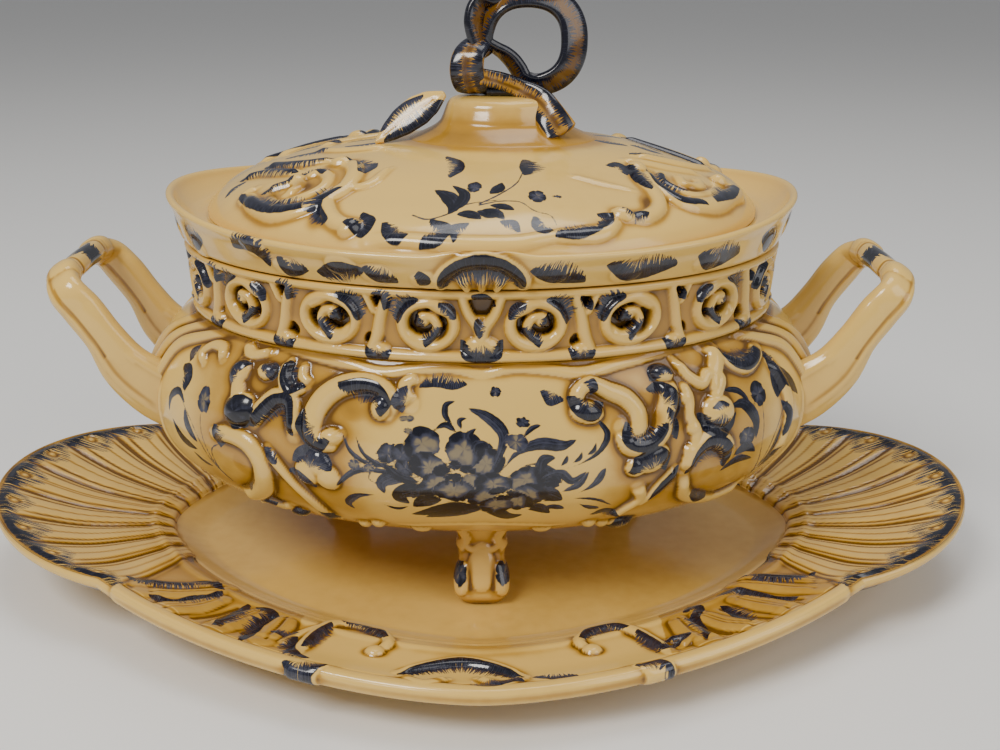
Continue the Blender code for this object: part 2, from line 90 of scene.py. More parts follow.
def spline(at: Array, knots: Array, values: Array) -> Array:
    """A cubic Hermite curve through (knots, values) whose slope at a knot is that of its two neighbours' chord.

    Args:
        at: where to read the curve.
        knots: rising positions of the values.
        values: one row per knot.

    Returns:
        The curve's value at each position.
    """
    knots, values = np.asarray(knots, float), np.asarray(values, float)
    slopes = np.gradient(values, knots, axis=0)
    k = np.clip(np.searchsorted(knots, at, side="right") - 1, 0, len(knots) - 2)
    step = knots[k + 1] - knots[k]
    x = np.clip((at - knots[k]) / step, 0.0, 1.0)
    if values.ndim > 1:
        x, step = x[:, None], step[:, None]
    return (
        (2 * x**3 - 3 * x**2 + 1) * values[k]
        + (x**3 - 2 * x**2 + x) * step * slopes[k]
        + (3 * x**2 - 2 * x**3) * values[k + 1]
        + (x**3 - x**2) * step * slopes[k + 1]
    )


def run_of(points: Array) -> Array:
    """Distance along a line of points, from its first."""
    return np.concatenate([[0.0], np.cumsum(np.linalg.norm(np.diff(points, axis=0), axis=1))])


def smooth_path(points: Path | Array, count: int = 28) -> Array:
    """A smooth curve through the points, read at equal shares of their distance along it."""
    held = np.asarray(points, float)
    if len(held) < 3:
        return held
    run = run_of(held)
    return spline(np.linspace(0.0, run[-1], count), run, held)


def grid_normals(points: Array, closed: bool) -> Array:
    """Unit normals of a grid: the cross product of its column and row differences, whose columns close if closed."""
    if closed:
        across = np.roll(points, -1, axis=1) - np.roll(points, 1, axis=1)
    else:
        across = np.gradient(points, axis=1)
    normal = np.cross(across, np.gradient(points, axis=0))
    return normal / np.maximum(np.linalg.norm(normal, axis=2, keepdims=True), 1e-12)


def soften(values: Array, sigma_rows: float, sigma_columns: float, closed: bool) -> Array:
    """A Gaussian blur of a grid: its spectrum times exp(-2 pi^2 sigma^2 f^2), with the ends that aren't closed reflected."""
    rows, columns = values.shape
    padded = np.concatenate([values, values[::-1]], axis=0)
    if not closed:
        padded = np.concatenate([padded, padded[:, ::-1]], axis=1)
    down = np.fft.fftfreq(padded.shape[0])[:, None]
    along = np.fft.rfftfreq(padded.shape[1])[None, :]
    fade = np.exp(-2 * math.pi**2 * ((sigma_rows * down) ** 2 + (sigma_columns * along) ** 2))
    return np.fft.irfft2(np.fft.rfft2(padded) * fade, s=padded.shape)[:rows, :columns]


# --- Charts: relief and brushwork in millimetres --------------------------------------------------------------------


@dataclass
class Chart:
    """A patch of surface in millimetres: s runs along it and t up it.

    It gathers height (relief), pool (where the amber glaze gathers, and on a few pieces painted shade too) and the
    brushwork: ink is how far inside a stroke a point lies, bristle the place across the brush's hairs, ragged how far
    the hairs' tips straggle, and tone the paint from thick navy (0) to thin grey blue (1).
    """

    s: Array
    t: Array
    height: Array = field(init=False)
    pool: Array = field(init=False)
    ink: Array = field(init=False)
    bristle: Array = field(init=False)
    ragged: Array = field(init=False)
    tone: Array = field(init=False)

    def __post_init__(self) -> None:
        """Starts every layer flat and bare."""
        self.height = np.zeros(self.s.shape)
        self.pool = np.zeros(self.s.shape)
        self.ink = np.full(self.s.shape, NO_INK)
        self.bristle = self.s * 1.0
        self.ragged = np.zeros(self.s.shape)
        self.tone = np.full(self.s.shape, 0.3)

    def follow(self, points: Path, reach: float) -> tuple[tuple[Array, ...], Array, Array, float]:
        """Measures the chart against a path.

        Args:
            points: the path's points, which a smooth curve joins.
            reach: how far from the path matters.

        Returns:
            The picked grid places, their signed distance (left of travel is positive), their share along the path,
            and its length.
        """
        curve = smooth_path(points)
        low, high = curve.min(axis=0) - reach, curve.max(axis=0) + reach
        pick = np.nonzero((self.s > low[0]) & (self.s < high[0]) & (self.t > low[1]) & (self.t < high[1]))
        place = np.stack([self.s[pick], self.t[pick]], axis=1)[:, None, :]
        start, leg = curve[:-1], np.diff(curve, axis=0)
        away = place - start[None]
        share = np.clip((away * leg).sum(axis=2) / np.maximum((leg**2).sum(axis=1), 1e-9), 0.0, 1.0)
        gap = away - share[..., None] * leg
        distance = np.hypot(gap[..., 0], gap[..., 1])
        nearest = distance.argmin(axis=1)
        index = np.arange(len(nearest))
        turn = leg[nearest, 0] * away[index, nearest, 1] - leg[nearest, 1] * away[index, nearest, 0]
        run = run_of(curve)
        along = run[nearest] + share[index, nearest] * np.linalg.norm(leg, axis=1)[nearest]
        signed = np.where(turn < 0, -1.0, 1.0) * distance[index, nearest]
        return pick, signed, along / run[-1], float(run[-1])

    def rib(self, points: Path, width: float | tuple[float, ...], height: float, ends: float = 0.25) -> None:
        """Raises a rounded ridge: height times (1 - (distance / half width)^2)^0.6, lower towards its two ends.

        Args:
            points: the ridge's line.
            width: half width, or several of them spaced evenly along it.
            height: how far it stands out.
            ends: the height left at the ends, as a share.
        """
        widths = np.atleast_1d(np.asarray(width, float))
        pick, signed, share, _ = self.follow(points, float(widths.max()) + 0.5)
        half = np.interp(share, np.linspace(0.0, 1.0, len(widths)), widths)
        tall = height * (ends + (1 - ends) * ease(0.0, 0.12, np.minimum(share, 1 - share)))
        rise = tall * np.clip(1 - (signed / half) ** 2, 0.0, None) ** 0.6
        self.height[pick] = np.maximum(self.height[pick], rise)

    def groove(self, points: Path, width: float, depth: float, pool: float = 0.7) -> None:
        """Cuts a soft groove, depth times exp(-(distance / width)^2), and lets the glaze gather in it."""
        pick, signed, share, _ = self.follow(points, width * 2.5)
        cut = np.exp(-((signed / width) ** 2)) * ease(0.0, 0.08, np.minimum(share, 1 - share) + 0.02)
        self.height[pick] -= depth * cut
        self.pool[pick] = np.maximum(self.pool[pick], pool * cut)

    def knob(self, centre: Point, radii: Point, height: float, turn: float = 0.0) -> None:
        """Raises a dome over a turned ellipse: height times the root of (1 - radius^2)."""
        radius, pick, _ = self.ellipse(centre, radii, turn)
        rise = height * np.sqrt(np.clip(1 - radius**2, 0.0, None))
        self.height[pick] = np.maximum(self.height[pick], rise)

    def cut(self, centre: Point, radii: Point, turn: float = 0.0) -> None:
        """Brings a turned ellipse down to nothing, with a soft shoulder of a tenth of its radius."""
        radius, pick, _ = self.ellipse(centre, radii, turn)
        self.height[pick] *= ease(0.9, 1.12, radius)

    def stain(self, centre: Point, radii: Point, pool: float, turn: float = 0.0) -> None:
        """Gathers glaze in a soft turned ellipse, pool times exp(-1.4 radius^2)."""
        radius, pick, _ = self.ellipse(centre, (radii[0] * 1.8, radii[1] * 1.8), turn)
        held = pool * np.exp(-1.4 * (radius * 1.8) ** 2) * (radius < 1)
        self.pool[pick] = np.maximum(self.pool[pick], held)

    def ellipse(self, centre: Point, radii: Point, turn: float) -> tuple[Array, tuple[Array, ...], Array]:
        """The share of a turned ellipse's radius at the places near it, those places, and the way across it."""
        reach = max(radii) + 1.6
        pick = np.nonzero((np.abs(self.s - centre[0]) < reach) & (np.abs(self.t - centre[1]) < reach))
        x, y = self.s[pick] - centre[0], self.t[pick] - centre[1]
        c, n = math.cos(math.radians(turn)), math.sin(math.radians(turn))
        u, v = x * c + y * n, y * c - x * n
        return np.hypot(u / radii[0], v / radii[1]), pick, v

    def lay(self, pick: tuple[Array, ...], level: Array, bristle: Array, ragged: Array, tone: Array) -> None:
        """Lays paint: over what is there where the new stroke is inside its outline, beside it elsewhere."""
        over = (level > 0) | (level > self.ink[pick])
        self.ink[pick] = np.maximum(self.ink[pick], level)
        for layer, new in ((self.bristle, bristle), (self.ragged, ragged), (self.tone, tone)):
            layer[pick] = np.where(over, new, layer[pick])

    def feather(self, points: Path, depth: float, tone: float = 0.06, ragged: float = 0.55, edge: float = 0.5) -> None:
        """A dab dragged sideways: a firm dark edge along the path, and hairs that straggle off to its left.

        Args:
            points: the firm edge.
            depth: the hairs' greatest length; below zero they go to the right.
            tone: the paint at the firm edge. It thins towards the tips.
            ragged: how uneven the tips are, as a share of the depth.
            edge: how far the paint stands outside the path.
        """
        depth *= HAIR_DRAG
        pick, signed, share, length = self.follow(points, abs(depth) + 1.8)
        inward = signed * math.copysign(1.0, depth)
        deep = abs(depth) * np.sin(math.pi * np.clip(share, 0.0, 1.0)) ** 0.55
        level = np.minimum(inward + edge * (deep / abs(depth)), deep - inward)
        out = np.clip(inward / abs(depth), 0.0, 1.0)
        fringe = HAIR_DRAG * ragged * deep * ease(0.05, 0.7, out)
        self.lay(pick, level, share * length + 7.3 * points[0][0], fringe, tone + 0.55 * out**1.3)

    def leaf(self, points: Path, width: float, tone: float = 0.35, peak: float = 0.5, shade: float = 0.2) -> None:
        """A pressed leaf: pointed ends, half width times the sine of the share, fullest at the peak.

        Args:
            points: its middle line.
            width: its greatest half width.
            tone: the paint.
            peak: where it is fullest, as a share.
            shade: how much darker one side is.
        """
        pick, signed, share, _ = self.follow(points, width + 1.6)
        bent = np.clip(share, 0, 1) ** (math.log(0.5) / math.log(peak))
        half = width * np.sin(math.pi * bent) ** 0.8
        level = np.where((share <= 0) | (share >= 1), np.minimum(half - np.abs(signed), 0.0), half - np.abs(signed))
        tint = 0.8 * tone + shade * np.clip(signed / max(width, 0.1), -1, 1)
        self.lay(pick, level, signed * 1.0, np.full(level.shape, 0.12), tint)

    def stem(self, points: Path, width: float = 0.42, tone: float = 0.22) -> None:
        """A fine line that thins a little towards its far end."""
        pick, signed, share, _ = self.follow(points, 2.0)
        level = width * (1.1 - 0.45 * share) - np.abs(signed)
        self.lay(pick, level, share, np.zeros(level.shape), np.full(level.shape, tone))

    def petal(self, centre: Point, radii: Point, turn: float = 0.0, rim: float = 0.08, heart: float = 0.7, core: Point | None = None) -> None:
        """A petal or a berry: navy at its rim, thinned to olive grey within, and palest towards the flower's core."""
        radius, pick, _ = self.ellipse(centre, radii, turn)
        level = (1 - radius) * min(radii)
        x, y = self.s[pick] - centre[0], self.t[pick] - centre[1]
        lean = 0.0
        if core is not None:
            away = math.hypot(core[0] - centre[0], core[1] - centre[1]) + 0.1
            lean = ((core[0] - centre[0]) * x + (core[1] - centre[1]) * y) / (away * max(radii))
        tint = rim + (heart - rim) * ease(0.10, 0.75, 1 - radius + 0.45 * lean)
        self.lay(pick, level, np.arctan2(y, x) * 0.4 + centre[0], 0.8 * ease(0.3, 1.0, radius) + 0.1, tint)


# --- Meshes ---------------------------------------------------------------------------------------------------------


def add_mesh(name: str, points: Array, faces: Array, layers: dict[str, Array], normals: Array | None = None) -> bpy.types.Object:
    """Makes an object at the origin from points and four-cornered faces, where a repeated corner means a triangle.

    Args:
        name: the piece's name.
        points: one row per vertex, in metres.
        faces: four vertex indices per row; a triangle repeats its last.
        layers: one value per vertex for each named attribute.
        normals: optional normals of the vertices, to carry one shading across neighbouring pieces.

    Returns:
        The new object.
    """
    triangle = faces[:, 2] == faces[:, 3]
    totals = np.where(triangle, 3, 4)
    keep = np.ones(faces.shape, bool)
    keep[triangle, 3] = False
    corners = faces[keep]
    mesh = bpy.data.meshes.new(name)
    mesh.vertices.add(len(points))
    mesh.vertices.foreach_set("co", points.astype(np.float32).ravel())
    mesh.loops.add(len(corners))
    mesh.loops.foreach_set("vertex_index", corners.astype(np.int32))
    mesh.polygons.add(len(totals))
    mesh.polygons.foreach_set("loop_start", np.concatenate([[0], np.cumsum(totals)[:-1]]).astype(np.int32))
    mesh.update(calc_edges=True)
    mesh.validate()
    for label, values in layers.items():
        layer = mesh.attributes.new(label, "FLOAT", "POINT")
        layer.data.foreach_set("value", np.asarray(values, np.float32).ravel())
    mesh.shade_smooth()
    if normals is not None:
        mesh.normals_split_custom_set_from_vertices(normals.reshape(-1, 3).tolist())
    made = bpy.data.objects.new(name, mesh)
    bpy.context.scene.collection.objects.link(made)
    return made


def grid_faces(rows: int, columns: int, closed: bool) -> Array:
    """The four-cornered faces of a grid, with its last column joined to its first if closed."""
    i = np.arange(rows - 1)[:, None]
    j = np.arange(columns if closed else columns - 1)[None, :]
    nxt = (j + 1) % columns
    return np.stack([i * columns + j, i * columns + nxt, (i + 1) * columns + nxt, (i + 1) * columns + j], axis=-1).reshape(-1, 4)


def add_grid(
    name: str,
    points: Array,
    layers: dict[str, Array],
    closed: bool = True,
    poles: tuple[bool, bool] = (False, False),
    normals: Array | None = None,
) -> bpy.types.Object:
    """Makes an object from a grid of points.

    Args:
        name: the piece's name.
        points: rows by columns by 3, in metres.
        layers: one value per grid place for each named attribute.
        closed: whether the last column meets the first.
        poles: whether the first and last rows are each closed by a middle point.
        normals: optional normals of the grid.

    Returns:
        The new object.
    """
    rows, columns = points.shape[:2]
    flat, faces = points.reshape(-1, 3), grid_faces(rows, columns, closed)
    data = {label: values.reshape(-1) for label, values in layers.items()}
    for first, wanted in ((True, poles[0]), (False, poles[1])):
        if not wanted:
            continue
        ring = np.arange(columns) + (0 if first else (rows - 1) * columns)
        middle = len(flat)
        data = {label: np.append(values, values[ring].mean()) for label, values in data.items()}
        flat = np.concatenate([flat, flat[ring].mean(axis=0)[None]])
        a, b = (np.roll(ring, -1), ring) if first else (ring, np.roll(ring, -1))
        tip = np.full(columns, middle)
        faces = np.concatenate([faces, np.stack([a, b, tip, tip], axis=1)])
    return add_mesh(name, flat, faces, data, normals)


@dataclass
class Glazed:
    """A grid of surface with its chart: it presses the relief into the grid and works out where the glaze pools."""

    points: Array
    chart: Chart
    spacing: tuple[float, float]
    closed: bool = True

    def pressed(self, smooth: float = 0.35, spread: float = 2.6, base: float = 0.0, gain: float = 1.0) -> tuple[Array, Array, dict[str, Array]]:
        """Moves each point along its normal by the softened relief.

        Args:
            smooth: radius in mm over which the relief's creases are softened.
            spread: radius in mm of the surroundings that a hollow is measured against.
            base: an even shift of the surface in mm.
            gain: how readily the glaze gathers in the hollows.

        Returns:
            The moved points, their normals and the layers for the material.
        """
        down, along = self.spacing
        height = soften(self.chart.height, smooth / down, smooth / along, self.closed)
        wide = soften(height, spread / down, spread / along, self.closed)
        near = soften(height, spread / 3 / down, spread / 3 / along, self.closed)
        hollow = gain * (np.clip(wide - height, 0.0, None) * 1.0 + np.clip(near - height, 0.0, None) * 1.2)
        pool = np.clip(np.maximum(self.chart.pool, 0) + hollow, 0.0, 1.6)
        moved = self.points + grid_normals(self.points, self.closed) * ((height + base) * MM)[..., None]
        return moved, grid_normals(moved, self.closed), self.layers(pool)

    def layers(self, pool: Array) -> dict[str, Array]:
        """The chart's layers under the names that the materials read."""
        chart = self.chart
        return {"pool": pool, "ink": chart.ink, "bristle": chart.bristle, "ragged": chart.ragged, "tone": chart.tone}


def plain_layers(shape: tuple[int, ...], pool: float = 0.0) -> dict[str, Array]:
    """Layers of an unpainted surface."""
    chart = Chart(np.zeros(shape), np.zeros(shape))
    return {"pool": np.full(shape, pool), "ink": chart.ink, "bristle": chart.s, "ragged": chart.ragged, "tone": chart.tone}


# --- Finishes ---------------------------------------------------------------------------------------------------------


class Nodes:
    """A node tree with short ways to add and join nodes."""

    def __init__(self, tree: bpy.types.NodeTree) -> None:
        """Keeps the tree."""
        self.tree = tree

    def add(self, kind: str, settings: dict[str, object] | None = None, **inputs: object) -> bpy.types.Node:
        """Adds a node.

        Args:
            kind: its type.
            settings: properties of the node.
            inputs: socket names, spaces written as underscores, with a value or an output socket each.

        Returns:
            The node.
        """
        node = self.tree.nodes.new(kind)
        for key, value in (settings or {}).items():
            setattr(node, key, value)
        for key, value in inputs.items():
            name = int(key[1:]) if key[0] == "i" and key[1:].isdigit() else key.replace("_", " ")
            if isinstance(value, bpy.types.NodeSocket):
                self.tree.links.new(value, node.inputs[name])
            else:
                node.inputs[name].default_value = value
        return node

    def math(self, operation: str, a: object, b: object = 0.0, clamp: bool = False) -> bpy.types.NodeSocket:
        """The result of a Math node."""
        return self.add("ShaderNodeMath", {"operation": operation, "use_clamp": clamp}, i0=a, i1=b).outputs[0]

    def span(self, value: object, low: float, high: float, to_low: float = 0.0, to_high: float = 1.0) -> bpy.types.NodeSocket:
        """The value eased from low..high to to_low..to_high."""
        node = self.add(
            "ShaderNodeMapRange", {"interpolation_type": "SMOOTHSTEP"}, i0=value, i1=low, i2=high, i3=to_low, i4=to_high
        )
        return node.outputs[0]

    def mix(self, share: object, a: object, b: object) -> bpy.types.NodeSocket:
        """A mix of two colours."""
        node = self.add("ShaderNodeMix", {"data_type": "RGBA"}, i0=share, i6=a, i7=b)
        return node.outputs[2]

    def noise(self, vector: object, scale: float, detail: float = 2.0) -> bpy.types.NodeSocket:
        """Cloudy noise about a half."""
        return self.add("ShaderNodeTexNoise", None, Vector=vector, Scale=scale, Detail=detail).outputs["Fac"]


def new_group(name: str, takes: dict[str, str], gives: dict[str, str]) -> tuple[bpy.types.NodeTree, Nodes, bpy.types.Node, bpy.types.Node]:
    """Starts a shader group with named sockets: the group, its nodes, and its input and output nodes."""
    group = bpy.data.node_groups.new(name, "ShaderNodeTree")
    for label, kind in takes.items():
        group.interface.new_socket(label, in_out="INPUT", socket_type=kind)
    for label, kind in gives.items():
        group.interface.new_socket(label, in_out="OUTPUT", socket_type=kind)
    nodes = Nodes(group)
    return group, nodes, nodes.add("NodeGroupInput"), nodes.add("NodeGroupOutput")


def brush_group() -> bpy.types.NodeTree:
    """Brushwork from a chart's layers: the ink level, less the straggle of each hair, gives the mask."""
    number, colour = "NodeSocketFloat", "NodeSocketColor"
    group, nodes, given, out = new_group(
        "Brushwork",
        {"Ink": number, "Bristle": number, "Ragged": number, "Tone": number, "Place": "NodeSocketVector"}
        | {"Thick": colour, "Middle": colour, "Thin": colour},
        {"Mask": number, "Paint": colour},
    )
    hair = nodes.add("ShaderNodeTexNoise", {"noise_dimensions": "1D"}, W=given.outputs["Bristle"], Scale=1.05, Detail=2.0)
    fine = nodes.add("ShaderNodeTexNoise", {"noise_dimensions": "1D"}, W=given.outputs["Bristle"], Scale=2.9, Detail=1.0)
    cloud = nodes.noise(given.outputs["Place"], 420.0, 1.0)
    straggle = nodes.math("MULTIPLY", nodes.span(hair.outputs[0], 0.40, 0.74), given.outputs["Ragged"])
    wobble = nodes.math("MULTIPLY", nodes.math("SUBTRACT", cloud, 0.5), 0.5)
    level = nodes.math("ADD", nodes.math("SUBTRACT", given.outputs["Ink"], straggle), wobble)
    gap = nodes.math("MULTIPLY", nodes.span(fine.outputs[0], 0.53, 0.68), nodes.math("MINIMUM", nodes.math("MULTIPLY", given.outputs["Ragged"], 0.80), 2.4))
    mask = nodes.span(nodes.math("SUBTRACT", level, gap), -0.16, 0.22)
    streak = nodes.math("MULTIPLY", nodes.math("SUBTRACT", fine.outputs[0], 0.5), 1.1)
    tone = nodes.math("ADD", given.outputs["Tone"], nodes.math("ADD", streak, wobble))
    light = nodes.mix(nodes.span(tone, 0.45, 1.0), given.outputs["Middle"], given.outputs["Thin"])
    paint = nodes.mix(nodes.span(tone, 0.0, 0.5), given.outputs["Thick"], light)
    nodes.tree.links.new(mask, out.inputs["Mask"])
    nodes.tree.links.new(paint, out.inputs["Paint"])
    return group


def pool_and_shade_group() -> bpy.types.NodeTree:
    """Glaze that pools, with painted shade mixed in: cream on what stands out, honey and then umber in what lies deep
    or is painted in shade, with a cloudy drift.
    """
    number, colour = "NodeSocketFloat", "NodeSocketColor"
    group, nodes, given, out = new_group(
        "PooledGlazeAndShade",
        {"Pool": number, "Place": "NodeSocketVector", "Cream": colour, "Honey": colour, "Umber": colour},
        {"Glaze": colour, "Depth": number},
    )
    drift = nodes.noise(given.outputs["Place"], 16.0, 3.0)
    speck = nodes.noise(given.outputs["Place"], 160.0, 2.0)
    sway = nodes.math("ADD", nodes.math("MULTIPLY", nodes.math("SUBTRACT", drift, 0.5), 0.55), nodes.math("MULTIPLY", nodes.math("SUBTRACT", speck, 0.5), 0.18))
    depth = nodes.math("ADD", given.outputs["Pool"], sway)
    honey = nodes.mix(nodes.span(depth, 0.0, 0.62), given.outputs["Cream"], given.outputs["Honey"])
    glaze = nodes.mix(nodes.span(depth, 0.55, 1.25), honey, given.outputs["Umber"])
    nodes.tree.links.new(glaze, out.inputs["Glaze"])
    nodes.tree.links.new(depth, out.inputs["Depth"])
    return group


@dataclass(frozen=True)
class PaintedGlaze:
    """A glossy lead-like glaze over earthenware, with cobalt brushed on it."""

    name: str
    slot: Slot
    cream: tuple[float, float, float] = (0.73, 0.475, 0.120)
    honey: tuple[float, float, float] = (0.42, 0.215, 0.022)
    umber: tuple[float, float, float] = (0.130, 0.056, 0.003)
    thick: tuple[float, float, float] = (0.0034, 0.0040, 0.0105)
    middle: tuple[float, float, float] = (0.040, 0.043, 0.070)
    thin: tuple[float, float, float] = (0.210, 0.165, 0.095)
    roughness: float = 0.13

    def make(self, groups: dict[str, bpy.types.NodeTree]) -> bpy.types.Material:
        """Builds the material.

        Args:
            groups: the shared node groups by name.

        Returns:
            A Principled BSDF whose colour is the pooled glaze and its painted shade under the brushwork.
        """
        material = bpy.data.materials.new(self.name)
        material.use_nodes = True
        material.node_tree.nodes.clear()
        nodes = Nodes(material.node_tree)
        place = nodes.add("ShaderNodeTexCoord").outputs["Object"]
        layer = {label: nodes.add("ShaderNodeAttribute", {"attribute_name": label}).outputs["Fac"] for label in ("pool", "ink", "bristle", "ragged", "tone")}
        pool = nodes.add(
            "ShaderNodeGroup", {"node_tree": groups["pool"]},
            Pool=layer["pool"], Place=place, Cream=(*self.cream, 1), Honey=(*self.honey, 1), Umber=(*self.umber, 1),
        )  # fmt: skip
        brush = nodes.add(
            "ShaderNodeGroup", {"node_tree": groups["brush"]},
            Ink=layer["ink"], Bristle=layer["bristle"], Ragged=layer["ragged"], Tone=layer["tone"], Place=place,
            Thick=(*self.thick, 1), Middle=(*self.middle, 1), Thin=(*self.thin, 1),
        )  # fmt: skip
        colour = nodes.mix(brush.outputs["Mask"], pool.outputs["Glaze"], brush.outputs["Paint"])
        shader = nodes.add("ShaderNodeBsdfPrincipled", None, Base_Color=colour, IOR=1.5, Coat_Weight=0.2)
        shader.inputs["Coat Roughness"].default_value = 0.05
        peel = nodes.noise(place, 190.0, 1.0)
        rough = nodes.span(nodes.noise(place, 60.0), 0.3, 0.8, self.roughness, self.roughness + 0.10)
        material.node_tree.links.new(rough, shader.inputs["Roughness"])
        bump = nodes.add("ShaderNodeBump", None, Strength=0.10, Distance=0.0006, Height=peel)
        material.node_tree.links.new(bump.outputs[0], shader.inputs["Normal"])
        output = nodes.add("ShaderNodeOutputMaterial")
        material.node_tree.links.new(shader.outputs[0], output.inputs[0])
        return material


@dataclass
class Workshop:
    """Gives each finished piece the glaze of its slot and joins it to its body, and hides the CAD nodes it stands for.
    """

    glazes: dict[Slot, bpy.types.Material] = field(default_factory=dict)
    triangles: int = 0

    def __post_init__(self) -> None:
        """Mixes the glazes."""
        groups = {"brush": brush_group(), "pool": pool_and_shade_group()}
        finishes = (
            PaintedGlaze("cream_glaze_painted", Slot.CREAM),
            PaintedGlaze("amber_glaze_gallery", Slot.AMBER, cream=(0.70, 0.445, 0.105)),
            PaintedGlaze("blue_glaze_ribbon", Slot.BLUE),
        )
        self.glazes = {finish.slot: finish.make(groups) for finish in finishes}

    def finish(self, piece: bpy.types.Object, body: Body, nodes: tuple[str, ...], slot: Slot = Slot.CREAM) -> bpy.types.Object:
        """Dresses a piece and says where it belongs."""
        piece.data.materials.append(self.glazes[slot])
        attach(piece, body.value)
        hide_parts(*nodes)
        count = len(piece.data.loops) - 2 * len(piece.data.polygons)
        self.triangles += count
        LOG.info("%s: %d triangles on %s", piece.name, count, body.value)
        return piece


# --- Ovals ------------------------------------------------------------------------------------------------------------


@dataclass
class Oval:
    """Columns spread evenly round an oval, from the back over the left, the front and the right.

    Its chart's s is the distance from the middle of the front or the back, below zero on the left, so both sides carry
    the same design.
    """

    half_length: float
    half_width: float
    count: int
    angle: Array = field(init=False)
    s: Array = field(init=False)
    around: float = field(init=False)

    def __post_init__(self) -> None:
        """Spaces the columns by the oval's own length: its element is the root of (a cos)^2 + (b sin)^2."""
        fine = np.linspace(-math.pi, math.pi, 8001)
        pace = np.hypot(self.half_length * np.cos(fine), self.half_width * np.sin(fine))
        run = np.concatenate([[0.0], np.cumsum((pace[1:] + pace[:-1]) / 2 * np.diff(fine))])
        run -= np.interp(0.0, fine, run)
        self.around = 2 * run[-1] / MM
        even = np.linspace(run[0], run[-1], self.count, endpoint=False)
        self.angle = np.interp(even, run, fine)
        quarter = run[-1] / 2
        self.s = np.where(np.abs(even) > quarter, np.sign(even) * (2 * quarter - np.abs(even)), even) / MM

    def ring(self, a: Array, b: Array, z: Array, lift: Array | float = 0.0, shift: Array | float = 0.0) -> Array:
        """Points (shift + a sin, -b cos, z + lift sin^4) for rows of half lengths, half widths and heights."""
        c, n = np.cos(self.angle)[None], np.sin(self.angle)[None]
        a, b, z = (np.asarray(v, float)[:, None] for v in (a, b, z))
        lift, shift = (np.broadcast_to(np.asarray(v, float), a[:, 0].shape)[:, None] for v in (lift, shift))
        return np.stack([shift + a * n, -b * c, z + lift * n**4], axis=2)

    def arc(self, degrees: float) -> float:
        """The chart's s at an angle from the front's middle."""
        return float(np.interp(math.radians(degrees), self.angle, self.s))


# --- The tureen ---------------------------------------------------------------------------------------------------------


